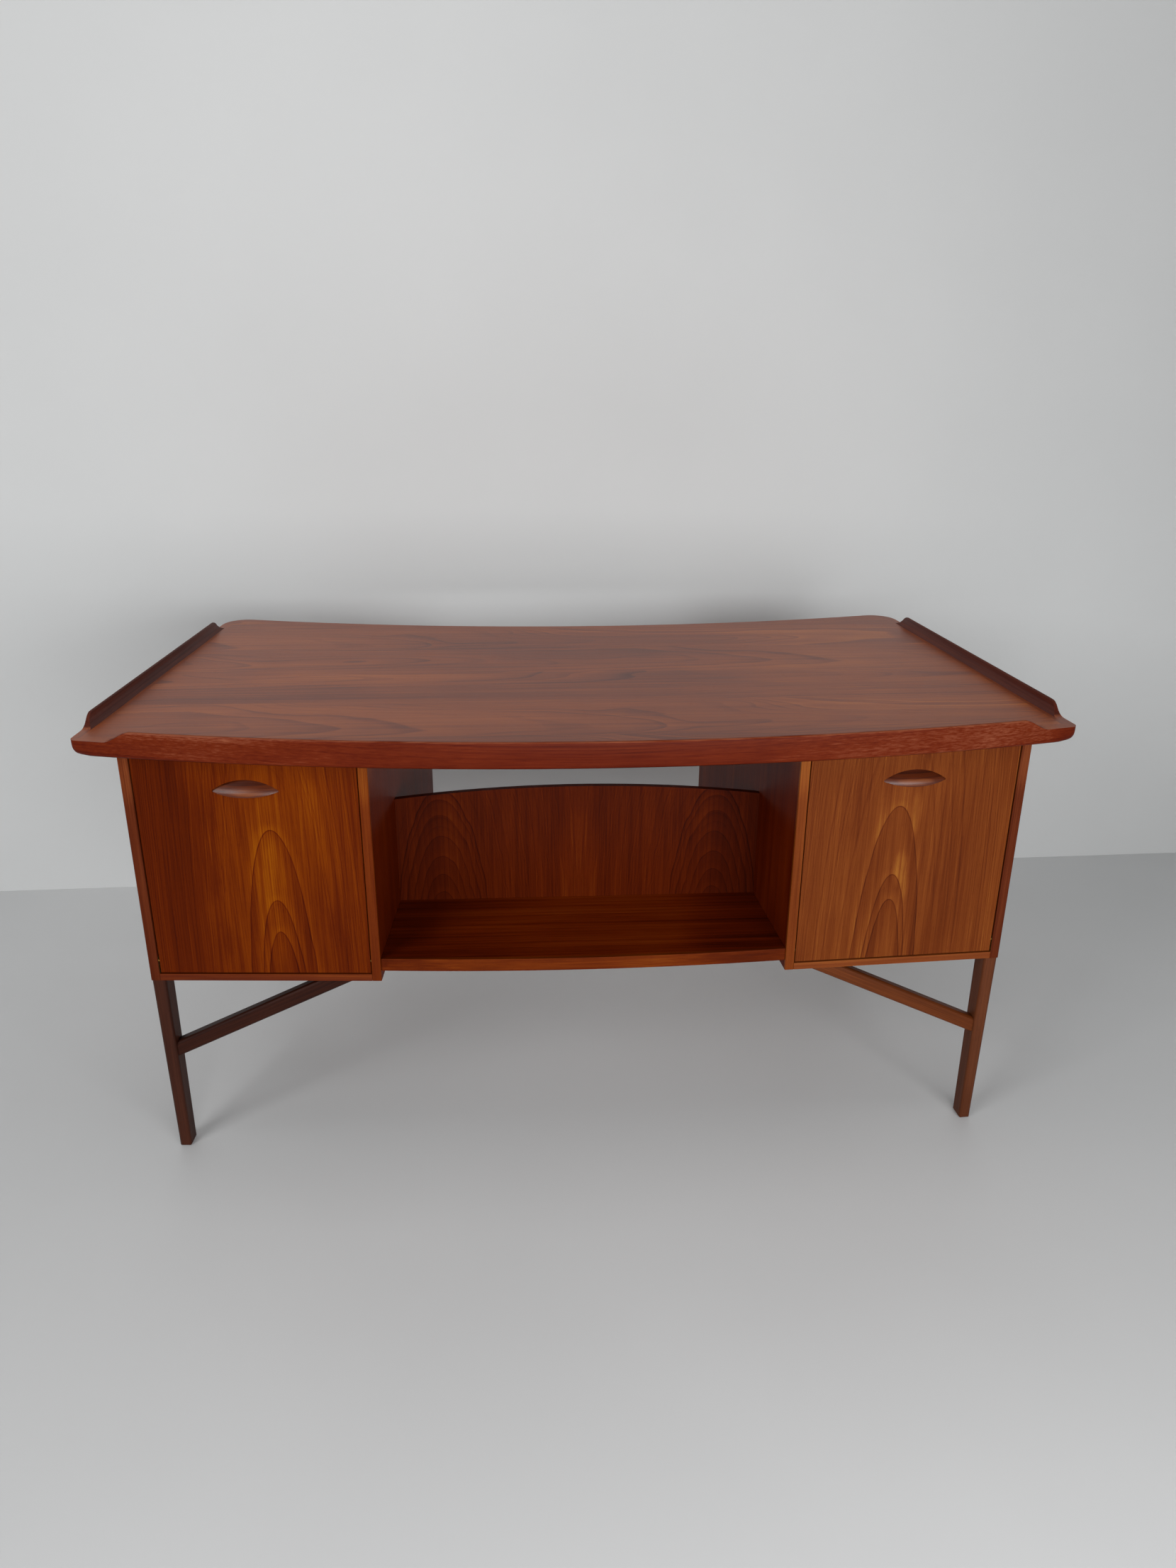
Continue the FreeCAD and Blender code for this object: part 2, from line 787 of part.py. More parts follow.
def placed(shape):
    moved = shape.copy()
    moved.Placement = pedestal_place.multiply(moved.Placement)
    return moved


def both_sides(shape):
    left = placed(shape)
    return Part.makeCompound(left.Solids + mirror_x(left).Solids)


def top_board():
    return top_outline(edging_width, top_underside).extrude(up * top_thickness)


pedestal_pieces = {
    "outer_panel": outer_panel(),
    "inner_panel": inner_panel(),
    "bottom_panel": bottom_panel(),
    "partition": partition(),
    "top_rails": top_rails(),
    "drawer_runners": drawer_runners(),
    "cabinet_shelf": cabinet_shelf(),
    "door": door(),
    "door_pull": door_pull(),
    "door_pivot_pins": door_pins(),
    "front_leg": front_leg(),
    "rear_leg": to_rear(front_leg()),
    "front_brace": front_brace(),
    "rear_brace": to_rear(front_brace()),
}
for name, (low, high) in zip(drawer_names, drawer_levels()):
    pedestal_pieces[name + "_front"] = drawer_front(low, high)
    pedestal_pieces[name + "_box"] = drawer_box(low, high)
    pedestal_pieces[name + "_pull"] = drawer_pull(low, high)

nodes = {
    "top_board": top_board(),
    "front_edging": front_edging(),
    "rear_edging": rear_edging(),
    "left_side_edging": side_edging(),
    "right_side_edging": mirror_x(side_edging()),
    "bookshelf": bookshelf(),
    "bookshelf_cleats": bookshelf_cleats(),
    "bookcase_back": bookcase_back(),
    "pivot_plates": both_sides(pivot_plates()),
    "flap_stops": both_sides(flap_stops()),
    "door_catches": both_sides(door_catch()),
    "cabinet_cleats": both_sides(cabinet_cleats()),
}
for name, shape in pedestal_pieces.items():
    nodes["left_" + name] = placed(shape)
    nodes["right_" + name] = mirror_x(placed(shape))

os.makedirs("parts", exist_ok=True)
for name, shape in nodes.items():
    shape.translate(back * -plan_middle)
    assert shape.isValid(), name
    shape.exportStep("parts/" + name + ".step")
    print(name, len(shape.Solids), "solids", round(shape.Volume), "mm3")
print(len(nodes), "nodes; the plan's middle lies at Y =", round(plan_middle, 2))
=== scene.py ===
# %% [markdown]
# # Dressing a teak executive desk
# The desk was made in full size elsewhere, as a set of joined boards. Here it gets its looks:
# the figure of the veneer, the sheen of the oil, the softness of worn edges, and a photographer's
# studio round it. The boards themselves are a fixed frame, so the first step only brings them in.

# %% Bring in the frame
import json
import math

import bpy
from mathutils import Matrix, Vector

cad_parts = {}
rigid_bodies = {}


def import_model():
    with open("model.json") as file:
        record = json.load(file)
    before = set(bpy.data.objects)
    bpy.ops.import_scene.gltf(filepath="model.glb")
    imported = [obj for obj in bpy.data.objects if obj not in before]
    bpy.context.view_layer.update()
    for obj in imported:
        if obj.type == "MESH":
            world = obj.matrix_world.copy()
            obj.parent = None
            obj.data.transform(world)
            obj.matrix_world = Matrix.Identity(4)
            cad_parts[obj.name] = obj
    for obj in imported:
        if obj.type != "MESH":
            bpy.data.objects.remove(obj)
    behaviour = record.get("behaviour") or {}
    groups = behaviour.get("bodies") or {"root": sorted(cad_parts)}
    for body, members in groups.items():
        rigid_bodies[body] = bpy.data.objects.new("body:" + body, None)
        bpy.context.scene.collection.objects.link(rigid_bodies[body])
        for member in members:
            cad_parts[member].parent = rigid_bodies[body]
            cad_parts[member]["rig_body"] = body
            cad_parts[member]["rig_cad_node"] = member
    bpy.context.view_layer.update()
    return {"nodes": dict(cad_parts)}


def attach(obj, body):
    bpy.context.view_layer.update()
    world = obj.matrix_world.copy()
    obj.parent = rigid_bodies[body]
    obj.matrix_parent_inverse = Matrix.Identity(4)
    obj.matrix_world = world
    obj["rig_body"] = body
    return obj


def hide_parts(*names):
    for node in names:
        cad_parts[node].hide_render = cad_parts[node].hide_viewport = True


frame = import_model()

# %% [markdown]
# Every finish on this desk is wood, and wood is worked out with sums: how far is a point from the
# heart of the tree, and which yearly ring does that make it? A node tree can do such sums, but wiring
# them by hand takes a page for each. The small class below wraps one output socket, so that a sum
# written in Python adds its Math nodes by itself.

# %% A socket that can be added, multiplied and compared
class Wire:
    """One output socket of a material."""

    def __init__(self, tree, socket=None):
        self.tree = tree
        self.socket = socket

    def node(self, kind, settings=None, inputs=None, output=0):
        """Adds a node: its settings are set first, then the values or wires of its sockets."""
        made = self.tree.nodes.new("ShaderNode" + kind)
        for key, value in (settings or {}).items():
            if key == "stops":
                ramp = made.color_ramp.elements
                while len(ramp) < len(value):
                    ramp.new(1.0)
                for stop, (place, colour) in zip(ramp, value):
                    stop.position = place
                    stop.color = (*colour, 1.0)
            else:
                setattr(made, key, value)
        for key, value in (inputs or {}).items():
            if isinstance(value, Wire):
                self.tree.links.new(value.socket, made.inputs[key])
            else:
                made.inputs[key].default_value = value
        return Wire(self.tree, made.outputs[output] if made.outputs else None)

    def math(self, operation, *values, clamp=False):
        settings = {"operation": operation, "use_clamp": clamp}
        return self.node("Math", settings, dict(enumerate(values)))

    def __add__(self, other):
        return self.math("ADD", self, other)

    __radd__ = __add__

    def __mul__(self, other):
        return self.math("MULTIPLY", self, other)

    __rmul__ = __mul__

    def __sub__(self, other):
        return self.math("SUBTRACT", self, other)

    def __rsub__(self, other):
        return self.math("SUBTRACT", other, self)

    def __truediv__(self, other):
        return self.math("DIVIDE", self, other)

    def __gt__(self, other):
        return self.math("GREATER_THAN", self, other)

    def clamped(self):
        return self.math("ADD", self, 0.0, clamp=True)

    def step(self, low, high):
        """Rises smoothly from 0 at low to 1 at high."""
        settings = {"interpolation_type": "SMOOTHSTEP"}
        return self.node("MapRange", settings, {"Value": self, "From Min": low, "From Max": high})

    def blend(self, colour, other):
        """This value as the share of other laid over colour."""
        settings = {"data_type": "RGBA"}
        return self.node("Mix", settings, {0: self, 6: colour, 7: other}, output=2)


def new_material(name):
    """An empty material, and a wire to start its nodes with."""
    material = bpy.data.materials.new(name)
    material.use_nodes = True
    material.node_tree.nodes.clear()
    return material, Wire(material.node_tree)


print("wires ready")

# %% [markdown]
# ## The tones of teak
# Teak darkens and turns orange with the years, and no two boards of one desk do so alike. So each board
# has four tones of its own, from its darkest line to its palest fibre, and one number, the lightness of
# a point, picks between them on a colour ramp. A picture of wood would give the colours too, but it ends
# at its edge and repeats, and a ramp does neither. Some tones are also darker as painted shade: those of
# the bookcase back and shelf under the desktop, and those of the left pedestal's legs and braces.

# %% Tones, from the darkest lines to the palest fibres
DOOR_LEFT = ((0.034, 0.0026, 0.0001), (0.086, 0.0100, 0.0001), (0.142, 0.023, 0.0002), (0.240, 0.060, 0.0006))
DOOR_RIGHT = ((0.046, 0.008, 0.002), (0.110, 0.022, 0.004), (0.164, 0.040, 0.007), (0.290, 0.104, 0.016))
EDGE = ((0.024, 0.0020, 0.0003), (0.078, 0.0065, 0.0006), (0.118, 0.014, 0.0020), (0.215, 0.058, 0.026))
DESKTOP = ((0.095, 0.012, 0.001), (0.200, 0.034, 0.002), (0.300, 0.060, 0.004), (0.430, 0.112, 0.010))
# The back and shelf tones are darker as painted shade, for the shade under the desktop.
BACK_IN_SHADE = ((0.018, 0.0015, 0.0001), (0.052, 0.0050, 0.0002), (0.085, 0.0100, 0.0004), (0.160, 0.032, 0.002))
SHELF_IN_SHADE = ((0.026, 0.0020, 0.0001), (0.095, 0.009, 0.0003), (0.150, 0.018, 0.0008), (0.210, 0.036, 0.0030))
CASE = ((0.024, 0.0015, 0.0001), (0.074, 0.0060, 0.0002), (0.118, 0.013, 0.0006), (0.205, 0.040, 0.0020))
LIPPING_DARK = ((0.024, 0.003, 0.0008), (0.060, 0.009, 0.0020), (0.090, 0.016, 0.0040), (0.165, 0.040, 0.011))
LIPPING_LEFT = ((0.030, 0.003, 0.0002), (0.080, 0.010, 0.0006), (0.128, 0.021, 0.0015), (0.220, 0.056, 0.0050))
LIPPING_RIGHT = ((0.056, 0.008, 0.001), (0.122, 0.023, 0.003), (0.172, 0.039, 0.006), (0.285, 0.088, 0.014))
GALLERY = ((0.019, 0.003, 0.002), (0.064, 0.011, 0.006), (0.098, 0.020, 0.010), (0.145, 0.038, 0.018))
# Lit and shaded copies of one wood: the left pedestal's legs and braces are darker as painted shade.
LEG_LEFT_IN_SHADE = ((0.010, 0.003, 0.002), (0.034, 0.009, 0.0045), (0.054, 0.015, 0.007), (0.090, 0.028, 0.013))
LEG_RIGHT_LIT = ((0.018, 0.005, 0.002), (0.062, 0.016, 0.005), (0.098, 0.027, 0.009), (0.160, 0.050, 0.018))
BRACE_LEFT_IN_SHADE = ((0.006, 0.0015, 0.001), (0.020, 0.0045, 0.0020), (0.034, 0.008, 0.0035), (0.065, 0.018, 0.008))
BRACE_RIGHT_LIT = ((0.022, 0.005, 0.001), (0.076, 0.017, 0.003), (0.122, 0.029, 0.006), (0.190, 0.054, 0.012))
PULL_WOOD = ((0.016, 0.002, 0.0004), (0.054, 0.008, 0.0012), (0.090, 0.016, 0.0025), (0.190, 0.050, 0.010))
BEECH = ((0.300, 0.170, 0.080), (0.480, 0.300, 0.160), (0.560, 0.370, 0.210), (0.640, 0.440, 0.270))
STOPS = (0.0, 0.36, 0.62, 1.0)


def toned(wire, lightness, tones):
    """The colour that the tones give to a lightness."""
    return wire.node("ValToRGB", {"stops": tuple(zip(STOPS, tones))}, {0: lightness.clamped()})


print("tones ready, with stops at", STOPS)

# %% [markdown]
# ## A place on a board
# A veneer's figure follows its grain, and the grain of each board of the desk runs another way: up the
# doors, along the top, aslant in the braces. So a point is first measured along the grain, across it and
# into the board. UV maps could hold that, but Object coordinates turned with the pedestal need no
# unwrapping and stay the same in every pose. Noise stretched along the grain then gives the bands,
# streaks, threads and pores. Each layer has so many features per metre along and across the grain.

# %% Places and noise
LAYERS = {  # features per metre along the grain and across it, detail, and shift of the seed
    "slow": (2.5, 7.0, 1.5, 0.0),
    "quick": (14.0, 30.0, 3.0, 3.0),
    "bands": (1.8, 20.0, 3.0, 7.0),
    "streaks": (1.6, 150.0, 2.0, 11.0),
    "threads": (9.0, 560.0, 3.0, 13.0),
    "pores": (80.0, 1500.0, 1.0, 17.0),
    "cloud": (8.0, 18.0, 3.0, 19.0),
    "flecks": (60.0, 1300.0, 1.0, 29.0),
}


def board_axes(wire, grain, across, turn, tilt):
    """How far a point lies along the grain, across it and into the board, in metres."""
    place = wire.node("TexCoord", output="Object")
    for axis, angle in (("Z_AXIS", turn), ("Y_AXIS", tilt)):
        if angle:
            place = wire.node("VectorRotate", {"rotation_type": axis}, {"Vector": place, "Angle": math.radians(angle)})
    depth = next(axis for axis in "XYZ" if axis not in grain + across)
    return [wire.node("SeparateXYZ", None, {0: place}, output=axis) for axis in (grain, across, depth)]


def layer(wire, place, name, seed):
    """One layer of noise about zero."""
    along, across, detail, shift = LAYERS[name]
    point = wire.node("CombineXYZ", None, {i: p * s for i, (p, s) in enumerate(zip(place, (along, across, across)))})
    inputs = {"Vector": point, "W": seed + shift, "Scale": 1.0, "Detail": detail}
    return wire.node("TexNoise", {"noise_dimensions": "4D"}, inputs) - 0.5


def by_chance(wire, number):
    """A number from 0 to 1 that is the same wherever the given number is."""
    return wire.node("TexWhiteNoise", {"noise_dimensions": "1D"}, {"W": number})


print(len(LAYERS), "layers of noise:", *LAYERS)

# %% [markdown]
# ## How a board gets its figure
# A tree trunk is a stack of cones, one for each year. A veneer knife that passes near the heart cuts
# those cones into nested arches, the cathedral figure in the middle of a door, and further out it
# cuts them into straight lines. So one formula gives both: the distance from the heart of the tree,
# with a heart that leans slowly away from the board. A wave texture would be quicker, but its lines
# never close into arches. A year ends in a thin dark line and starts lighter, and each year has its
# own strength.

# %% Leaves, the heart of the tree and its years
LEAF_SLIDE = 3.0
LEAF_SHIFT = 0.6
LEAF_TINT = 0.16
EARLY_WOOD = 0.10
LATE_WOOD = 0.16


def laid_in_leaves(wire, along, side, leaf, seed):
    """Moves each leaf of a veneer by chance, so that no two look alike, and gives it a tint."""
    number = side.math("FLOOR", side * (1.0 / leaf))
    chance = by_chance(wire, number + seed)
    side = side - (number + 0.5) * leaf + (chance - 0.5) * (leaf * LEAF_SHIFT)
    return along + chance * LEAF_SLIDE, side, (chance - 0.5) * LEAF_TINT


def from_heart(wire, place, slow, quick, heart, depth, lean, sway, ripple):
    """How far a point lies beside the heart of the tree, behind it, and from it."""
    along, side, into = place
    beside = side - heart[1] + slow * sway + quick * ripple
    behind = (along - heart[0]) * lean + into + depth + slow * (sway * 0.5)
    return beside, behind, wire.math("SQRT", beside * beside + behind * behind)


def yearly_rings(wire, radius, ring, crowding, calm, figure, seed):
    """The lightness that the years add; crowding brings outer years closer, calm leaves out the first."""
    crowd = wire.node("TexNoise", {"noise_dimensions": "1D"}, {"W": radius * 40.0 + seed, "Scale": 1.0, "Detail": 1.0})
    years = radius * (1.0 / ring) * (1.0 + radius * crowding) + crowd * 4.0
    season = years.math("FRACT", years)
    strength = by_chance(wire, years.math("FLOOR", years) + seed)
    late = season.step(0.62, 0.95) * (1.0 - season.step(0.96, 1.0)) * (0.25 + strength)
    early = (1.0 - season.step(0.0, 0.55)) * strength.step(0.3, 0.9)
    rings = (early * EARLY_WOOD - late * LATE_WOOD) * figure
    return rings * radius.step(calm, calm * 1.6) if calm else rings


print("rings ready, early wood", EARLY_WOOD, "lighter and late wood", LATE_WOOD, "darker")

# %% [markdown]
# The years near the heart of a door are few and wide, and each of their arches can be counted. Rings
# drawn by chance would put them elsewhere, so there each arch is drawn by itself: a thin dark line of
# even width at a given distance from the heart, dark just inside it and golden just outside. Some
# patches are also lighter or darker, whatever the years do: on some boards that is the wood's own tint,
# and elsewhere it is painted shade, painted highlights and a painted reflection. Each is an ellipse with
# a soft, uneven rim.

# %% Arches one by one, and glowing patches
ARCH_LINE = 0.22
ARCH_SHADE = 0.07


def drawn_arches(wire, beside, behind, radius, lean, quick, arches, contrast):
    """The lightness that arches of these radii add."""
    lean_part = behind * lean
    slope = wire.math("SQRT", beside * beside + lean_part * lean_part) / radius
    total = 0.0
    for arch in arches:
        beyond = (radius - arch) / slope
        line = (1.0 - beyond.math("ABSOLUTE", beyond).step(0.0002, 0.0015)) * (0.7 + quick * 2.0)
        inside = beyond.step(-0.030, 0.0) * (1.0 - beyond.step(0.0, 0.001))
        outside = beyond.step(0.0, 0.0015) * (1.0 - beyond.step(0.002, 0.014))
        total = (outside - inside) * (ARCH_SHADE * contrast) - line * (ARCH_LINE * contrast) + total
    return total


def glowing(run, breadth, slow, quick, texture, patches):
    """The lightness that patches add: place along and across, half length, half width and strength."""
    total = 0.0
    for along, across, half_length, half_width, strength in patches:
        off = (run - along) * (1.0 / half_length) + slow * 0.4
        beside = (breadth - across) * (1.0 / half_width) + (slow + quick) * 0.7
        away = off * off + beside * beside
        total = (1.0 - away.step(0.0, 1.0)) * texture * strength + total
    return total


print("arches and patches ready")

# %% [markdown]
# ## A finish of oiled teak
# All of that adds up to the lightness of a point, and the tones turn it into a colour. Three edges need
# more. A lipping, the solid strip on the front of a veneered panel, has tones of its own. The shelf's
# lipping follows its bowed edge. And the flat of an edging lies beside the desktop and is as worn as the
# desktop is, so there it takes the desktop's tones and sheen. Oiled teak is dull but not flat: its pores
# stay open, so they are rough and sunk. A clear coat would look like lacquer.

# %% Edges with tones of their own
TOP = 0.750
TOP_GLOSS = 0.38
TOP_SHINE = 0.33


def along_bow(wire, run, side, centre):
    """Minus the distance from the centre of a bowed edge, which takes the place of the way across."""
    side = side - centre
    return 0.0 - wire.math("SQRT", run * run + side * side)


def flat_beside_desktop(wire):
    """1 where a face looks up at the height of the desktop."""
    normal = wire.node("NewGeometry", output="Normal")
    upward = wire.node("SeparateXYZ", None, {0: normal}, output="Z")
    height = wire.node("SeparateXYZ", None, {0: wire.node("TexCoord", output="Object")}, output="Z")
    return upward.step(0.80, 0.97) * (1.0 - height.step(TOP + 0.001, TOP + 0.003))


def lipped(wire, colour, ends, lightness, low, high, tones):
    """The colour with the lipping's tones below low and above high."""
    share = (ends > high) + (low - ends > 0.0)
    return share.clamped().blend(colour, toned(wire, lightness + 0.05, tones))


print("edges ready, for a desktop at", TOP)

# %% The finish
MIDDLE_TONE = 0.48
WEIGHTS = {"bands": 0.5, "streaks": 0.5, "threads": 0.6, "cloud": 0.3, "pores": 0.12}


def teak(name, tones, grain="Z", across="X", turn=0.0, tilt=0.0, heart=(0.0, 0.0), depth=0.02, lean=0.08,
         ring=0.010, sway=0.012, ripple=0.004, crowding=0.0, calm=None, leaf=None, mirror=False, arches=(),
         contrast=1.0, figure=1.0, streak=1.0, fibre=1.0, dust=0.0, glow=(), seed=0.0, gloss=0.45, shine=0.12,
         bow=None, lipping=None, flat_tones=None):
    """A teak finish; heart is the place of the tree's heart along the grain and across it."""
    material, wire = new_material(name)
    run, breadth, into = board_axes(wire, grain, across, turn, tilt)
    along, side, tint = run, breadth, 0.0
    if mirror:
        side = side.math("ABSOLUTE", side)
    if leaf:
        along, side, tint = laid_in_leaves(wire, along, side, leaf, seed)
    place = (along, side, into)
    slow, quick, bands, streaks, threads, cloud = [
        layer(wire, place, kind, seed) for kind in ("slow", "quick", "bands", "streaks", "threads", "cloud")]
    pores = (layer(wire, place, "pores", seed) + 0.5).step(0.60, 0.72)
    beside, behind, radius = from_heart(wire, place, slow, quick, heart, depth, lean, sway, ripple)

    lightness = (MIDDLE_TONE + tint + yearly_rings(wire, radius, ring, crowding, calm, figure, seed)
                 + (bands * WEIGHTS["bands"] + streaks * WEIGHTS["streaks"]) * streak
                 + threads * (WEIGHTS["threads"] * fibre) + cloud * WEIGHTS["cloud"]
                 - pores * (WEIGHTS["pores"] * fibre))
    if dust:
        lightness = lightness + (layer(wire, place, "flecks", seed) + 0.5).step(0.62, 0.76) * dust
    if arches:
        lightness = lightness + drawn_arches(wire, beside, behind, radius, lean, quick, arches, contrast)
    if glow:
        lightness = lightness + glowing(run, breadth, slow, quick, 1.0 + cloud + threads * 1.5, glow)

    colour = toned(wire, lightness, tones)
    if lipping:
        ends = along_bow(wire, run, breadth, bow) if bow else breadth
        colour = lipped(wire, colour, ends, lightness, *lipping)
    if flat_tones:
        flat = flat_beside_desktop(wire)
        colour = flat.blend(colour, toned(wire, lightness, flat_tones))
    relief = 0.0 - pores - threads * 0.4
    bump = wire.node("Bump", None, {"Strength": 0.25 * fibre, "Distance": 0.0003, "Height": relief})

    def oiled(gloss, shine):
        rough = gloss + threads * 0.12 + pores * 0.08
        return wire.node("BsdfPrincipled", None, {"Base Color": colour, "Roughness": rough, "Normal": bump,
                                                  "IOR": 1.48, "Specular IOR Level": shine})

    shader = oiled(gloss, shine)
    if flat_tones:
        shader = wire.node("MixShader", None, {0: flat, 1: shader, 2: oiled(TOP_GLOSS, TOP_SHINE)})
    wire.node("OutputMaterial", None, {"Surface": shader})
    return material


print("teak ready")

# %% [markdown]
# ## Which tree each board came from
# The desktop is laid from several leaves of veneer side by side, and its solid edgings are darker and
# redder, with bright flecks. The panel behind the books is two mirrored leaves of one veneer, whose
# arches meet along the middle, and the shelf's solid lipping is paler than the shelf. One veneer for all
# would be quicker, but then the boards would no longer look like boards. The patches are placed where
# the real boards are lighter or darker: some are the wood's own tints, and some are painted shade,
# painted highlights and a painted reflection, as noted at each list.

# %% Desktop, edgings and bookcase
TURN = 3.3
SIDES = {"left": -1.0, "right": 1.0}
SHELF_BOW_RADIUS = 4.18
SHELF_BOW_CENTRE = SHELF_BOW_RADIUS - 0.351
SHELF_LIPPING = 0.007
# The first desktop patch, darker in the far middle, is a painted reflection of the darker wall; the others are the
# veneer's own tints.
TOP_TINTS_AND_REFLECTION = ((0.05, 0.20, 0.50, 0.14, -0.20), (0.0, -0.38, 0.45, 0.08, -0.10), (0.55, -0.08, 0.42, 0.26, 0.16),
               (0.50, 0.25, 0.25, 0.14, 0.12), (-0.40, -0.05, 0.22, 0.12, 0.08))
# On the front edging, the thin light line along the lip's crest and the band high on the lip near the left tip are
# painted highlights; the thin line at the bottom edge is darker; the others are the wood's own tints.
FRONT_EDGE_TINTS_AND_HIGHLIGHTS = ((0.75, 0.74, 0.05, 0.2, -0.22), (-0.60, 0.763, 0.30, 0.007, 0.16),
                      (0.62, 0.74, 0.45, 0.2, 0.20), (-0.62, 0.74, 0.40, 0.2, 0.08),
                      (0.0, 0.7670, 2.0, 0.0022, 0.35), (0.0, 0.7250, 2.0, 0.0022, -0.30))
# Painted shade and light on the shelf: darker at both ends beside the panels, lighter in the middle.
SHELF_PAINTED_LIGHT_AND_SHADE = ((0.0, -0.25, 0.28, 0.3, 0.10), (0.29, -0.23, 0.13, 0.3, -0.22), (-0.30, -0.23, 0.08, 0.3, -0.10))
# Painted shade on the back panel: darker towards both ends, beside the pedestals.
BACK_PAINTED_SHADE = ((0.45, -0.30, 0.30, 0.10, -0.10), (0.45, 0.29, 0.30, 0.13, -0.16))
BACK_ARCHES = (0.082, 0.070, 0.060, 0.050, 0.041, 0.032)
finishes = {
    "top_board": teak("top veneer", DESKTOP, "X", "Y", heart=(-2.0, 0.0), depth=-0.74, lean=0.04, ring=0.0075,
                      sway=0.09, ripple=0.012, leaf=0.178, seed=5.0, gloss=TOP_GLOSS, shine=TOP_SHINE,
                      streak=1.2, figure=1.7, glow=TOP_TINTS_AND_REFLECTION),
    "front_edging": teak("front edging wood", EDGE, "X", "Z", heart=(0.0, 0.4), depth=0.3, lean=0.0, seed=9.0,
                         streak=0.6, fibre=0.9, shine=0.08, dust=0.07, flat_tones=DESKTOP,
                         glow=FRONT_EDGE_TINTS_AND_HIGHLIGHTS),
    "rear_edging": teak("rear edging wood", EDGE, "X", "Z", heart=(0.0, -0.4), depth=0.3, lean=0.0, seed=12.0,
                        streak=0.6, fibre=0.9, dust=0.10, flat_tones=DESKTOP),
    "bookshelf": teak("shelf wood", SHELF_IN_SHADE, "X", "Y", heart=(1.0, 0.1), depth=-0.33, lean=0.03, ring=0.015,
                      seed=21.0, shine=0.05, streak=1.5, glow=SHELF_PAINTED_LIGHT_AND_SHADE, bow=SHELF_BOW_CENTRE,
                      lipping=(SHELF_LIPPING - SHELF_BOW_RADIUS, 1.0, LIPPING_LEFT)),
    "bookcase_back": teak("bookcase back veneer", BACK_IN_SHADE, "Z", "X", heart=(0.30, 0.24), depth=0.1435, lean=0.26,
                          ring=0.012, mirror=True, seed=26.0, shine=0.04, crowding=5.0, calm=0.05,
                          contrast=0.8, ripple=0.014, arches=BACK_ARCHES, glow=BACK_PAINTED_SHADE),
}
for side, way in SIDES.items():
    finishes[side + "_side_edging"] = teak(side + " gallery wood", GALLERY, "Y", "X", way * -TURN, depth=0.3,
                                           lean=0.0, heart=(0.0, way * 1.1), seed=30.0 + way, shine=0.10,
                                           flat_tones=DESKTOP)
print(len(finishes), "boards round the desktop and in the bookcase finished")

# %% [markdown]
# The two doors are the show pieces. Each has one cathedral whose arches point up, cut from a board near
# the heart, with a golden glow inside it. Its three clearest arches are drawn one by one, and chance
# draws the straight lines beside them. All by chance would be less work, but a cathedral in the wrong
# place is the first thing that one sees. The drawer fronts come from the same boards, further up the
# log, so they have the doors' tones.

# %% Doors and drawer fronts
FRONT = -0.3593
DOORS = {  # tones, seed, place of the heart across the door, radii of the arches, and patches
    "left": (DOOR_LEFT, 41.0, -0.464, (0.0548, 0.0374, 0.0290), (
        (0.56, -0.465, 0.26, 0.110, 0.10), (0.60, -0.470, 0.07, 0.045, 0.07), (0.525, -0.478, 0.09, 0.034, 0.08),
        (0.60, -0.385, 0.16, 0.030, 0.08), (0.50, -0.650, 0.45, 0.120, -0.20))),
    "right": (DOOR_RIGHT, 47.0, 0.474, (0.0575, 0.0395, 0.0328), (
        (0.625, 0.478, 0.045, 0.030, 0.10), (0.60, 0.503, 0.05, 0.012, 0.14), (0.505, 0.487, 0.038, 0.017, 0.20),
        (0.475, 0.499, 0.032, 0.010, 0.14), (0.59, 0.447, 0.08, 0.012, 0.12), (0.45, 0.58, 0.3, 0.06, -0.08))),
}
LEVELS = ("lower", "middle", "upper")
for side, way in SIDES.items():
    tones, seed, heart_side, arches, patches = DOORS[side]
    finishes[side + "_door"] = teak(side + " door veneer", tones, "Z", "X", way * -TURN, heart=(0.362, heart_side),
                                    depth=0.0201 - FRONT, lean=0.15, ring=0.0125, arches=arches, glow=patches,
                                    seed=seed, figure=1.1, crowding=6.0, calm=0.06, contrast=1.5, shine=0.04)
    front = teak(side + " drawer veneer", tones, "Z", "X", way * -TURN, heart=(0.9, way * 0.47), depth=-0.2,
                 lean=0.09, seed=80.0 + way)
    for level in LEVELS:
        finishes[side + "_" + level + "_drawer_front"] = front
    print(side, "door with", len(arches), "arches,", len(LEVELS), "drawer fronts")

# %% [markdown]
# The case panels are dark inside and out, and each has a paler solid lipping along its front and rear
# edge. The lippings are lighter near the top. The bottoms and the shelves in the cabinets are cut from
# the lippings' wood.

# %% Case panels
REAR = FRONT + 0.680
LIPPING_DEPTH = 0.006
# A lighter patch near the top of each lipping.
LIPPING_TOP_PATCH = (0.71, FRONT, 0.09, 0.05, 0.30)
for side, way in SIDES.items():
    edge_tones = LIPPING_LEFT if way < 0 else LIPPING_RIGHT
    for panel, panel_tones in (("outer_panel", LIPPING_DARK), ("inner_panel", edge_tones), ("partition", edge_tones)):
        finishes[side + "_" + panel] = teak(
            side + " " + panel.replace("_", " ") + " veneer", CASE, "Z", "Y", way * -TURN, heart=(0.0, 0.6),
            depth=0.5, lean=0.0, seed=50.0 + way + len(panel), shine=0.06, glow=(LIPPING_TOP_PATCH,),
            lipping=(FRONT + LIPPING_DEPTH, REAR - LIPPING_DEPTH, panel_tones))
    bottom = teak(side + " bottom wood", edge_tones, "X", "Z", way * -TURN, heart=(0.3, 0.35), depth=0.5, lean=0.0,
                  seed=55.0 + way, streak=1.4)
    finishes[side + "_bottom_panel"] = bottom
    finishes[side + "_cabinet_shelf"] = bottom
print(len(finishes), "boards finished")
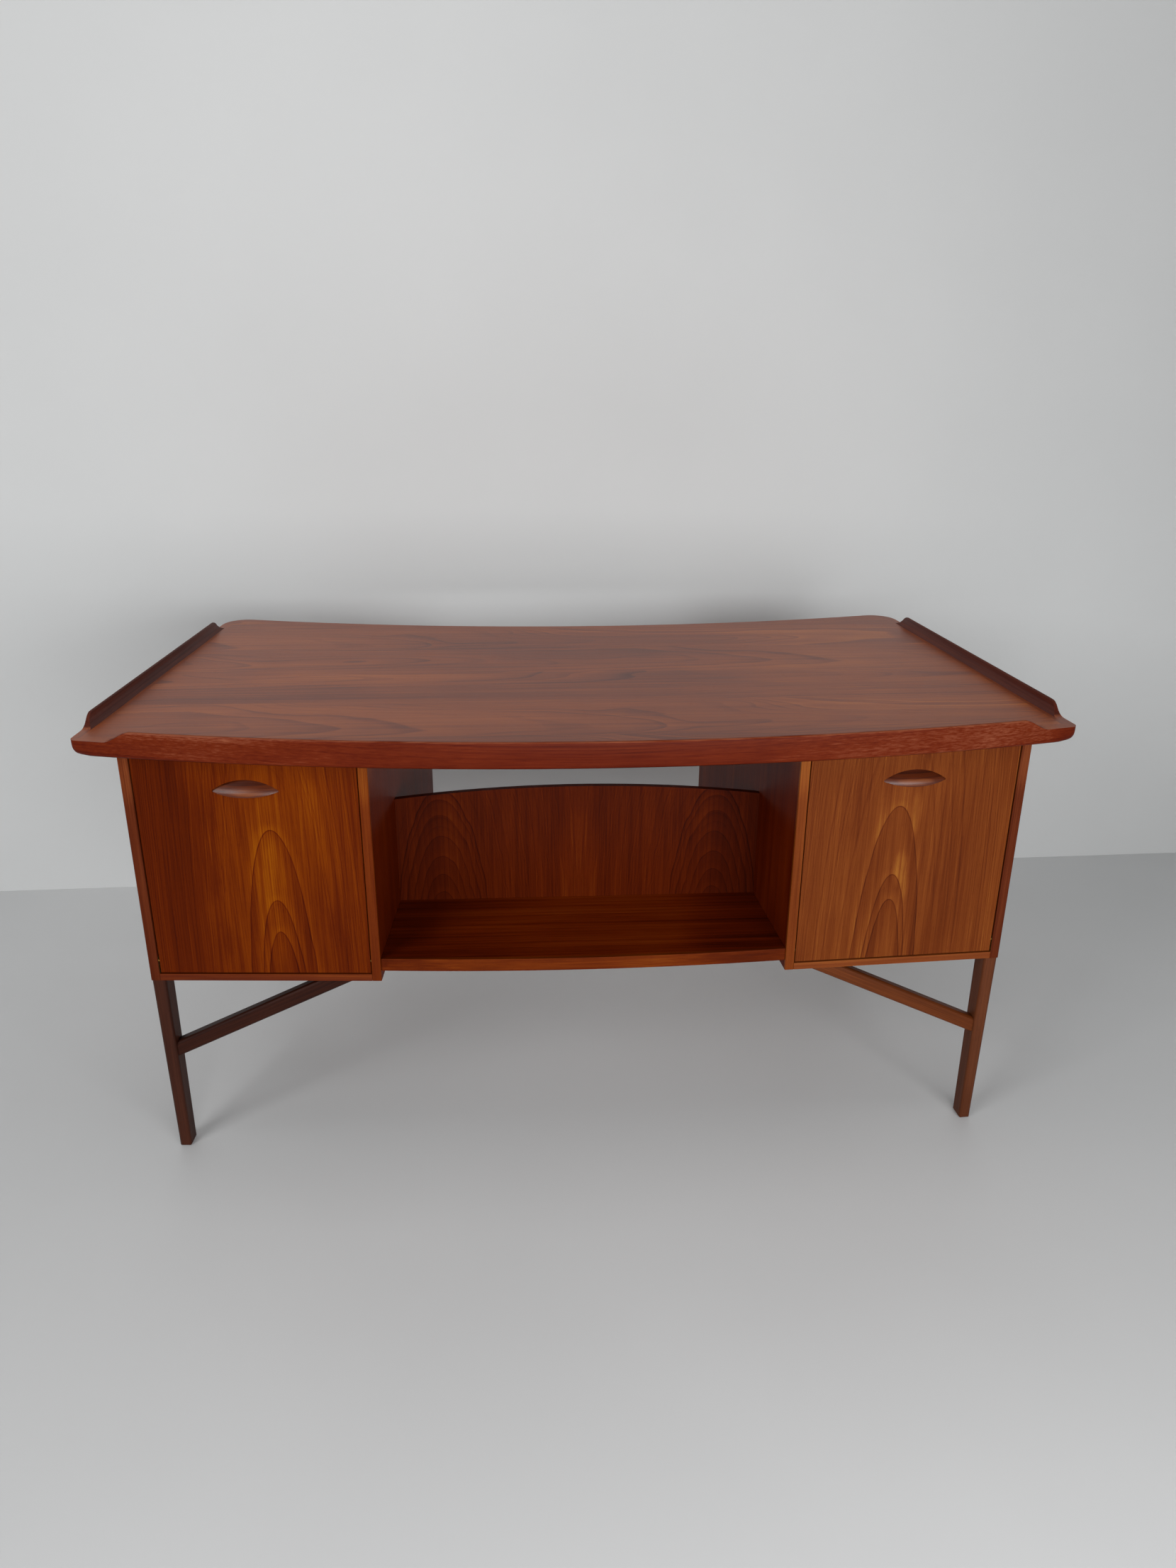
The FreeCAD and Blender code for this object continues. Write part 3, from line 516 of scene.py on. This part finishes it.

# %% [markdown]
# Legs, braces and pulls are shaped from solid wood. The left pedestal's legs and braces are darker than
# the right one's as painted shade, and a brace's grain runs along its slope. The door pulls have painted
# shade in the bowl and a painted highlight where the lip stands out. Drawer boxes, runners, cleats and
# stops are a plain pale wood, because they are hardly seen.

# %% Solid wood
BRACE_SLOPE = 25.9
# A painted highlight low on the door pulls' lip, and painted shade higher up in their bowl.
PULL_HIGHLIGHT_AND_SHADE = ((0.495, 0.6570, 0.036, 0.007, 0.34), (0.495, 0.6710, 0.060, 0.007, -0.12))
for side, way in SIDES.items():
    turn = way * -TURN
    # The left pedestal's darker leg and brace tones are painted shade.
    legs = teak(side + " leg wood", LEG_LEFT_IN_SHADE if way < 0 else LEG_RIGHT_LIT, "Z", "X", turn, heart=(0.0, way * 1.5),
                depth=0.5, lean=0.0, seed=60.0 + way)
    braces = teak(side + " brace wood", BRACE_LEFT_IN_SHADE if way < 0 else BRACE_RIGHT_LIT, "X", "Z", turn,
                  tilt=way * -BRACE_SLOPE, heart=(0.0, 1.5), depth=0.5, lean=0.0, seed=62.0 + way)
    inner = teak(side + " inner wood", BEECH, "Y", "X", turn, heart=(0.0, way * 1.5), depth=0.5, lean=0.0,
                 seed=70.0 + way, fibre=0.5, figure=0.4)
    carved = teak(side + " pull wood", PULL_WOOD, "X", "Z", turn, heart=(0.0, 1.5), depth=0.5, lean=0.0,
                  seed=65.0 + way, gloss=0.36, shine=0.40, fibre=0.4,
                  glow=[(way * along, *patch) for along, *patch in PULL_HIGHLIGHT_AND_SHADE])
    for end in ("front", "rear"):
        finishes[side + "_" + end + "_leg"] = legs
        finishes[side + "_" + end + "_brace"] = braces
    for piece in ["top_rails", "drawer_runners"] + [level + "_drawer_box" for level in LEVELS]:
        finishes[side + "_" + piece] = inner
    for piece in ["door_pull"] + [level + "_drawer_pull" for level in LEVELS]:
        finishes[side + "_" + piece] = carved
for plain in ("bookshelf_cleats", "cabinet_cleats", "flap_stops"):
    finishes[plain] = finishes["left_drawer_runners"]
print(len(finishes), "boards finished")

# %% [markdown]
# The hinge plates, pins and roller catches are brass. Old brass is not evenly gold: it tarnishes brown
# in patches, and fingers and the turning pin keep it bright. One noise pattern serves both the colour
# and the roughness, so that the brown patches are also the dull ones.

# %% Brass, and the finishes handed out
BRIGHT_BRASS = (0.36, 0.22, 0.06, 1.0)
BROWN_BRASS = (0.10, 0.055, 0.020, 1.0)


def old_brass(name):
    material, wire = new_material(name)
    place = wire.node("TexCoord", output="Object")
    blotch = wire.node("TexNoise", None, {"Vector": place, "Scale": 160.0, "Detail": 5.0}).step(0.38, 0.66)
    scratch = wire.node("TexNoise", None, {"Vector": place, "Scale": 1400.0, "Detail": 2.0})
    bump = wire.node("Bump", None, {"Strength": 0.15, "Distance": 0.0002, "Height": scratch})
    shader = wire.node("BsdfPrincipled", None, {"Base Color": blotch.blend(BRIGHT_BRASS, BROWN_BRASS), "Metallic": 1.0,
                                               "Normal": bump, "Roughness": 0.42 + blotch * 0.20 + scratch * 0.08})
    wire.node("OutputMaterial", None, {"Surface": shader})
    return material


brass = old_brass("old brass")
for node in ("pivot_plates", "door_catches", "left_door_pivot_pins", "right_door_pivot_pins"):
    finishes[node] = brass
for node, finish in finishes.items():
    frame["nodes"][node].material_slots[0].material = finish
print(len(finishes), "boards and fittings finished;", sorted(set(frame["nodes"]) - set(finishes)), "left")

# %% [markdown]
# ## Easing the edges
# A joiner takes the sharp arris off every board with a few strokes of sandpaper, and years of hands do
# the rest. A board's faces could be bent in the shader to look rounded, but only a real bevel also
# catches the light in the outline. So each board that shows gets a copy whose triangles are merged into
# whole faces again, with its sharp edges bevelled and its curves shaded smooth.

# %% Tools for one piece at a time
MM = 0.001


def only(piece):
    """Selects one piece alone."""
    bpy.ops.object.select_all(action="DESELECT")
    piece.select_set(True)
    bpy.context.view_layer.objects.active = piece


def modified(piece, kind, **settings):
    """Adds a modifier and applies it at once."""
    only(piece)
    step = piece.modifiers.new(kind.lower(), kind)
    for key, value in settings.items():
        setattr(step, key, value)
    bpy.ops.object.modifier_apply(modifier=step.name)


def smoothed(piece, angle=40.0):
    """Shades the piece smooth, but for edges sharper than the angle."""
    only(piece)
    bpy.ops.object.shade_smooth_by_angle(angle=math.radians(angle))
    modified(piece, "WEIGHTED_NORMAL", keep_sharp=True)


def bevelled(piece, width, **settings):
    """Bevels the piece's sharp edges and shades it smooth."""
    modified(piece, "BEVEL", width=width * MM, segments=2, limit_method="ANGLE", angle_limit=math.radians(50.0),
             **settings)
    smoothed(piece)


def dressed(piece, body, finish, node):
    """Says what the piece rides on and what it is made of, and hides the board it stands for."""
    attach(piece, body)
    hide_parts(node)
    piece.data.materials.clear()
    piece.data.materials.append(finish)
    return piece


print("tools ready")

# %% A copy of a board
def whole_copy(node):
    """A copy of a board with its triangles merged into whole faces."""
    only(frame["nodes"][node])
    bpy.ops.object.duplicate()
    piece = bpy.context.object
    piece.name = node + "_eased"
    del piece["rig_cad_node"]
    bpy.ops.mesh.customdata_custom_splitnormals_clear()
    bpy.ops.object.mode_set(mode="EDIT")
    bpy.ops.mesh.select_all(action="SELECT")
    bpy.ops.mesh.remove_doubles(threshold=0.01 * MM)
    bpy.ops.mesh.dissolve_limited(angle_limit=math.radians(0.3))
    bpy.ops.object.mode_set(mode="OBJECT")
    return piece


def eased_copy(node, ease, carve=None):
    """A copy of a board with eased edges; ease is in millimetres."""
    piece = whole_copy(node)
    if carve:
        carve(piece)
    bevelled(piece, ease, miter_outer="MITER_ARC", harden_normals=False)
    return dressed(piece, frame["nodes"][node]["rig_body"], finishes[node], node)


print("copies ready")

# %% [markdown]
# Where the edgings meet, the desk ends in four tips, and the two at the visitor's side are carved by hand:
# the lip sinks in a long S to the flat of the tip, the tip is blunt, and its underside is rounded away.
# The boards have a shorter S and smaller rounds. So their copies are sliced near the tips, and the new
# points are lowered to the S, or pulled in. A boolean cut would do for the S, but not for the rounding,
# which has to run from one board into the next without a step.

# %% The tips of the edgings
LIP_HEIGHT = 17.5 * MM
LIP_CREST = 0.656
LIP_FOOT = 0.701
LIP_SLICES = 12
TIP = (0.7508, -0.3485)
TIP_REACH = 32 * MM
TIP_PULL = 5 * MM
TIP_BLUNT = 1.4 * MM
TIP_BLUNT_REACH = TIP_BLUNT * 6
TIP_SLICES_FRONT = (0.708, 0.716, 0.724, 0.732, 0.738, 0.742, 0.745, 0.7475, 0.7495)
TIP_SLICES_SIDE = (-0.3465, -0.344, -0.341, -0.335, -0.329, -0.323, -0.316)
EDGE_DEPTH = 25 * MM
UNDERSIDE_SLICES = (0.3, 0.5, 0.65, 0.75, 0.84, 0.92)


def sliced(piece, axis, places):
    """Cuts a piece's faces along planes across an axis, so that there are points to move."""
    only(piece)
    bpy.ops.object.mode_set(mode="EDIT")
    for place in places:
        bpy.ops.mesh.select_all(action="SELECT")
        bpy.ops.mesh.bisect(plane_co=place * axis, plane_no=axis)
    bpy.ops.object.mode_set(mode="OBJECT")


def eased_share(value):
    """Runs smoothly from 0 to 1 as the value does."""
    value = min(max(value, 0.0), 1.0)
    return value * value * (3.0 - 2.0 * value)


def sliced_at_tips(piece, axis, places):
    sliced(piece, axis, places)
    sliced(piece, Vector((0.0, 0.0, 1.0)), [TOP - EDGE_DEPTH * share for share in UNDERSIDE_SLICES])


def pulled_in(piece):
    """Rounds the tips, and their undersides more than their tops."""
    for point in piece.data.vertices:
        x, y, z = point.co
        way = math.copysign(1.0, x)
        away = math.hypot(x - way * TIP[0], y - TIP[1])
        low = max((TOP - z) / EDGE_DEPTH, 0.0) ** 4
        pull = TIP_PULL * low * (1.0 - eased_share(away / TIP_REACH))
        pull += TIP_BLUNT * (1.0 - eased_share(away / TIP_BLUNT_REACH))
        point.co.x -= way * pull
        point.co.y += pull


def carve_side_tip(piece):
    sliced_at_tips(piece, Vector((0.0, 1.0, 0.0)), TIP_SLICES_SIDE)
    pulled_in(piece)


def carve_front_tips(piece):
    places = [LIP_CREST + (LIP_FOOT - LIP_CREST) * i / LIP_SLICES for i in range(LIP_SLICES + 1)]
    places += TIP_SLICES_FRONT
    sliced_at_tips(piece, Vector((1.0, 0.0, 0.0)), places + [-place for place in places])
    for point in piece.data.vertices:
        share = eased_share((LIP_FOOT - abs(point.co.x)) / (LIP_FOOT - LIP_CREST))
        point.co.z = min(point.co.z, TOP + LIP_HEIGHT * share)
    pulled_in(piece)


print("tips ready, S of", round((LIP_FOOT - LIP_CREST) / MM), "mm")

# %% [markdown]
# A drop-front door needs room at its sides, and on this desk the gap beside each door's outer edge is
# wide enough to show as a dark line. The copies of the doors are planed back there, by moving the points
# of that edge along the door's own face. Scaling the door would do it too, but would shift its pivots.

# %% The doors' outer edges
DOOR_GAP = 1.0 * MM


def plane_back(piece):
    way = SIDES[piece.name.split("_")[0]]
    run = Matrix.Rotation(math.radians(way * TURN), 3, "Z") @ Vector((way, 0.0, 0.0))
    places = [run.dot(point.co) for point in piece.data.vertices]
    edge = max(places)
    for point, place in zip(piece.data.vertices, places):
        if place > edge - 2 * MM:
            point.co -= run * DOOR_GAP


print("doors are planed back by", DOOR_GAP / MM, "mm")

# %% [markdown]
# Now every board that shows is copied, carved where it has to be, eased and dressed. Runners, cleats
# and drawer boxes keep their sharp edges, because a bevel inside a cabinet costs faces and is never
# seen.

# %% Boards that show
CARVED = {"front_edging": carve_front_tips, "left_side_edging": carve_side_tip, "right_side_edging": carve_side_tip,
          "left_door": plane_back, "right_door": plane_back}
EASED = {"front_edging": ("edging_wood", 0.6), "rear_edging": ("edging_wood", 0.6),
         "bookshelf": ("case_veneer", 0.8), "bookcase_back": ("back_veneer", 0.6)}
for side in SIDES:
    EASED[side + "_side_edging"] = ("edging_wood", 0.6)
    for piece in ("outer_panel", "inner_panel", "bottom_panel", "cabinet_shelf"):
        EASED[side + "_" + piece] = ("case_veneer", 0.6)
    for piece in ["door"] + [level + "_drawer_front" for level in LEVELS]:
        EASED[side + "_" + piece] = ("front_veneer", 0.7)
    for piece in ("front_leg", "rear_leg", "front_brace", "rear_brace"):
        EASED[side + "_" + piece] = ("leg_wood", 0.8)
eased = [eased_copy(node, ease, CARVED.get(node)) for node, (slot, ease) in EASED.items()]
print(len(eased), "boards eased,", sum(len(piece.data.polygons) for piece in eased), "faces")

# %% [markdown]
# ## The carved pulls
# Each door and drawer has an eye-shaped pull, carved from solid wood and let into the veneer. It is a
# shallow bowl for the fingertips, deepest under its upper rim, and it runs out below into a lip that
# stands a little proud and swells in the middle. It could be carved with sculpt brushes, but a lathe
# does it exactly: the line of the bowl is drawn once, turned about an upright axis far behind the door,
# and mirrored. Subdivision rounds it before it gets its back.

# %% The line of the bowl, turned and given a back
PULL_LENGTH = 100 * MM
PULL_REACH = 6.5 * MM
PULL_THICKNESS = 16 * MM
# Depth behind the front and height above the middle, in millimetres, from under the lip to over the bowl
BOWL_LINE = ((3.0, -13.4), (0.6, -11.8), (-3.0, -10.7), (-5.5, -9.0), (-6.5, -6.8), (-6.4, -4.0), (-5.6, -1.0),
             (-4.2, 2.0), (-2.2, 5.0), (0.3, 8.0), (3.0, 11.2), (5.7, 14.4), (8.2, 18.0), (10.6, 22.0), (12.6, 28.0))
swell_radius = ((PULL_LENGTH / 2) ** 2 + PULL_REACH ** 2) / (2 * PULL_REACH)
swell_centre = (0.0, swell_radius - PULL_REACH, 0.0)
swell_turn = math.asin((PULL_LENGTH / 2 + PULL_REACH) / swell_radius)

bpy.ops.object.select_all(action="DESELECT")
bpy.ops.mesh.primitive_plane_add(size=MM, location=(0.0, BOWL_LINE[0][0] * MM, BOWL_LINE[0][1] * MM))
pull = bpy.context.object
pull.name = "pull_master"
bpy.ops.object.transform_apply(location=True, rotation=True, scale=True)
bpy.ops.object.mode_set(mode="EDIT")
bpy.ops.mesh.select_all(action="SELECT")
bpy.ops.mesh.merge(type="CENTER")
for (depth, height), (next_depth, next_height) in zip(BOWL_LINE, BOWL_LINE[1:]):
    move = (0.0, (next_depth - depth) * MM, (next_height - height) * MM)
    bpy.ops.mesh.extrude_region_move(TRANSFORM_OT_translate={"value": move})
bpy.ops.mesh.select_all(action="SELECT")
bpy.ops.mesh.spin(steps=6, angle=swell_turn, center=swell_centre, axis=(0.0, 0.0, 1.0))
bpy.ops.object.mode_set(mode="OBJECT")
modified(pull, "MIRROR", use_axis=(True, False, False), merge_threshold=0.01 * MM)
modified(pull, "SUBSURF", levels=3, render_levels=3)
bpy.ops.object.mode_set(mode="EDIT")
bpy.ops.mesh.select_all(action="SELECT")
bpy.ops.mesh.extrude_region_move(TRANSFORM_OT_translate={"value": (0.0, PULL_THICKNESS * 3, 0.0)})
bpy.ops.mesh.select_all(action="SELECT")
bpy.ops.mesh.normals_make_consistent(inside=False)
bpy.ops.object.mode_set(mode="OBJECT")
print("bowl with", len(pull.data.polygons), "faces")

# %% [markdown]
# The eye is the part that two large discs share, one for its upper arc and one for its lower. Their
# thickness also cuts the back flush with the door's. The carver cannot work a needle point, so both tips
# are sawn off by 2 mm, and all round the arris is eased as the boards' is.

# %% The eye, cut by two discs, with blunt tips
PULL_TRIM = 2 * MM
PULL_RISE = 18.5 * MM
PULL_DROP = 8.5 * MM
half_eye = PULL_LENGTH / 2 + PULL_TRIM
for rise, way in ((PULL_RISE, 1.0), (PULL_DROP, -1.0)):
    radius = (half_eye ** 2 + rise ** 2) / (2 * rise)
    bpy.ops.object.select_all(action="DESELECT")
    bpy.ops.mesh.primitive_cylinder_add(vertices=240, radius=radius, depth=PULL_THICKNESS * 4,
                                        location=(0.0, -PULL_THICKNESS, way * (rise - radius)),
                                        rotation=(math.pi / 2, 0.0, 0.0))
    disc = bpy.context.object
    bpy.ops.object.transform_apply(location=True, rotation=True, scale=True)
    modified(pull, "BOOLEAN", operation="INTERSECT", solver="EXACT", object=disc)
    bpy.data.objects.remove(disc)
only(pull)
bpy.ops.object.mode_set(mode="EDIT")
for way in (-1.0, 1.0):
    bpy.ops.mesh.select_all(action="SELECT")
    bpy.ops.mesh.bisect(plane_co=(way * PULL_LENGTH / 2, 0.0, 0.0), plane_no=(way, 0.0, 0.0), use_fill=True,
                        clear_outer=True)
bpy.ops.object.mode_set(mode="OBJECT")
bevelled(pull, 0.6)
print("eye", [round(side / MM, 1) for side in pull.dimensions], "mm,", len(pull.data.polygons), "faces")

# %% [markdown]
# One pull is made and eight are used. Each copy is turned with its pedestal, and those of the drawers
# also half round, to face the user. Then its place goes into its mesh, as a board's does, so that its
# grain stays put when a drawer moves.

# %% One pull for each door and drawer
PEDESTAL_CORNER = Vector((-0.7, -0.3195, 0.0))
PEDESTAL_MIDDLE = 185.5 * MM
PEDESTAL_DEPTH = 680 * MM
PULL_PLACES = {  # depth behind the pedestal's front, height, and which way the pull faces
    "door": (0.0, 658.0 * MM, 0.0), "lower_drawer": (PEDESTAL_DEPTH, 444.2 * MM, 180.0),
    "middle_drawer": (PEDESTAL_DEPTH, 562.4 * MM, 180.0), "upper_drawer": (PEDESTAL_DEPTH, 680.5 * MM, 180.0)}
for side, way in SIDES.items():
    for place, (depth, height, facing) in PULL_PLACES.items():
        only(pull)
        bpy.ops.object.duplicate()
        piece = bpy.context.object
        piece.name = side + "_" + place + "_pull_carved"
        spot = Vector((PEDESTAL_MIDDLE, depth, height))
        spot = PEDESTAL_CORNER + Matrix.Rotation(math.radians(-TURN), 3, "Z") @ spot
        spot.x *= -way
        piece.matrix_world = Matrix.Translation(spot) @ Matrix.Rotation(math.radians(way * TURN + facing), 4, "Z")
        bpy.ops.object.transform_apply(location=True, rotation=True, scale=True)
        node = side + "_" + place + "_pull"
        dressed(piece, side + "_" + place + "_body", finishes[node], node)
        print(piece.name, "at", [round(part / MM, 1) for part in spot])
bpy.data.objects.remove(pull)

# %% [markdown]
# ## The studio
# The photograph was taken in a plain room with a pale floor and a pale wall close behind the desk. Two
# painted planes do for both. The desk is also looked at from behind, where the wall would be in the way,
# so the wall's paint is one-sided: its back is clear, and it throws no shadow.

# %% Floor and wall
WALL_LEFT = Vector((-1.418, 0.6945, 0.0))
WALL_RIGHT = Vector((1.710, 0.7755, 0.0))
ROOM = 9.0
FLOOR_TONE = (0.595, 0.602, 0.605)
WALL_TONE = (0.66, 0.67, 0.67)
MOTTLE = 0.97


def plain_paint(name, tone, roughness, one_sided=False):
    material, wire = new_material(name)
    place = wire.node("TexCoord", output="Object")
    share = wire.node("TexNoise", None, {"Vector": place, "Scale": 1.3, "Detail": 4.0}).step(0.35, 0.65)
    paint = share.blend((*[part * MOTTLE for part in tone], 1.0), (*tone, 1.0))
    shader = wire.node("BsdfPrincipled", None, {"Base Color": paint, "Roughness": roughness})
    if one_sided:
        behind = wire.node("NewGeometry", output="Backfacing")
        shader = wire.node("MixShader", None, {0: behind, 1: shader, 2: wire.node("BsdfTransparent")})
    wire.node("OutputMaterial", None, {"Surface": shader})
    return material


def stage_sheet(name, middle, size, turn, paint):
    bpy.ops.object.select_all(action="DESELECT")
    bpy.ops.mesh.primitive_plane_add(size=size, location=middle, rotation=turn)
    sheet = bpy.context.object
    sheet.name = name
    bpy.ops.object.transform_apply(location=True, rotation=True, scale=True)
    sheet.data.materials.append(paint)
    return sheet


wall_run = (WALL_RIGHT - WALL_LEFT).normalized()
wall_turn = math.atan2(wall_run.y, wall_run.x)
wall_middle = (WALL_LEFT + WALL_RIGHT) / 2 + Vector((0.0, 0.0, ROOM / 2))
stage_sheet("floor", (0.0, 0.0, 0.0), ROOM * 2, (0.0, 0.0, 0.0), plain_paint("floor paint", FLOOR_TONE, 0.55))
wall = stage_sheet("wall", wall_middle, ROOM, (math.pi / 2, 0.0, wall_turn),
                   plain_paint("wall paint", WALL_TONE, 0.6, one_sided=True))
wall.visible_shadow = False
print("wall turned by", round(math.degrees(wall_turn), 2), "degrees")

# %% [markdown]
# Windows in front of the desk and a softer light from the left give the front its shine, and a long
# light over the top gives the desktop its haze. Large area lamps do this softly, as windows do, where a
# small lamp would draw hard shadows. A low lamp behind the wall reaches only the desk's rear, under the
# height of the top.

# %% Lights
SOFTBOXES = (  # name, place, target, size and power
    ("windows", (0.6, -2.6, 0.9), (0.1, 0.0, 0.3), (2.4, 1.0), 58.0),
    ("side", (-2.4, -2.6, 2.0), (0.0, 0.0, 0.6), (1.5, 1.5), 52.0),
    ("ceiling", (-0.2, -0.5, 3.4), (-0.1, 0.5, 1.6), (3.4, 1.2), 18.0),
    ("rear", (0.0, 3.6, 0.37), (0.0, 0.0, 0.37), (5.0, 0.7), 45.0),
)
for name, place, target, size, power in SOFTBOXES:
    lamp = bpy.data.lights.new(name, "AREA")
    lamp.shape = "RECTANGLE"
    lamp.size, lamp.size_y = size
    lamp.energy = power
    holder = bpy.data.objects.new(name, lamp)
    bpy.context.scene.collection.objects.link(holder)
    holder.location = place
    holder.visible_camera = False
    holder.rotation_euler = (Vector(target) - Vector(place)).to_track_quat("-Z", "Y").to_euler()
print(len(SOFTBOXES), "lights,", sum(power for *_, power in SOFTBOXES), "W together")

# %% [markdown]
# The room beyond the wall is never in the photograph, but the desk is also looked at from behind. So the
# world is a pale backdrop to the camera alone, and gives the desk no more than a breath of light.

# %% The room round the set
ROOM_TONE = (0.95, 0.98, 1.0, 1.0)
ROOM_SEEN = 0.42
ROOM_FILL = 0.05
world = bpy.data.worlds.new("room light")
world.use_nodes = True
world.node_tree.nodes.clear()
room = Wire(world.node_tree)
seen = room.node("LightPath", output="Is Camera Ray")
backdrop = room.node("Background", None, {"Color": ROOM_TONE, "Strength": seen * (ROOM_SEEN - ROOM_FILL) + ROOM_FILL})
room.node("OutputWorld", None, {"Surface": backdrop})
bpy.context.scene.world = world
bpy.context.scene.view_settings.view_transform = "Standard"
print("backdrop", ROOM_SEEN, "for the camera and", ROOM_FILL, "for the desk")

# %% [markdown]
# ## The camera
# The photographer stood a little left of the middle, with a wide lens, and held the camera at chest
# height, tilted down and almost level. It could be placed by eye, but then no line would lie where it
# does in the photograph. So these numbers were fitted, and they are not round.

# %% Camera
CAMERA_PLACE = Vector((-0.1004, -1.8927, 1.2643))
CAMERA_TURN = math.radians(3.768)
CAMERA_DIP = math.radians(21.069)
CAMERA_ROLL = math.radians(0.411)
LENS_PER_FRAME_HEIGHT = 1543.16 / 2212
SENSOR = 36.0
lens = bpy.data.cameras.new("camera")
lens.sensor_fit = "AUTO"
lens.sensor_width = SENSOR
lens.lens = SENSOR * LENS_PER_FRAME_HEIGHT
camera = bpy.data.objects.new("camera", lens)
bpy.context.scene.collection.objects.link(camera)
camera.location = CAMERA_PLACE
camera.rotation_euler = (Matrix.Rotation(-CAMERA_TURN, 3, "Z") @ Matrix.Rotation(math.pi / 2 - CAMERA_DIP, 3, "X")
                         @ Matrix.Rotation(CAMERA_ROLL, 3, "Z")).to_euler()
bpy.context.scene.camera = camera
print("lens", round(lens.lens, 1), "mm at", [round(part, 2) for part in CAMERA_PLACE])
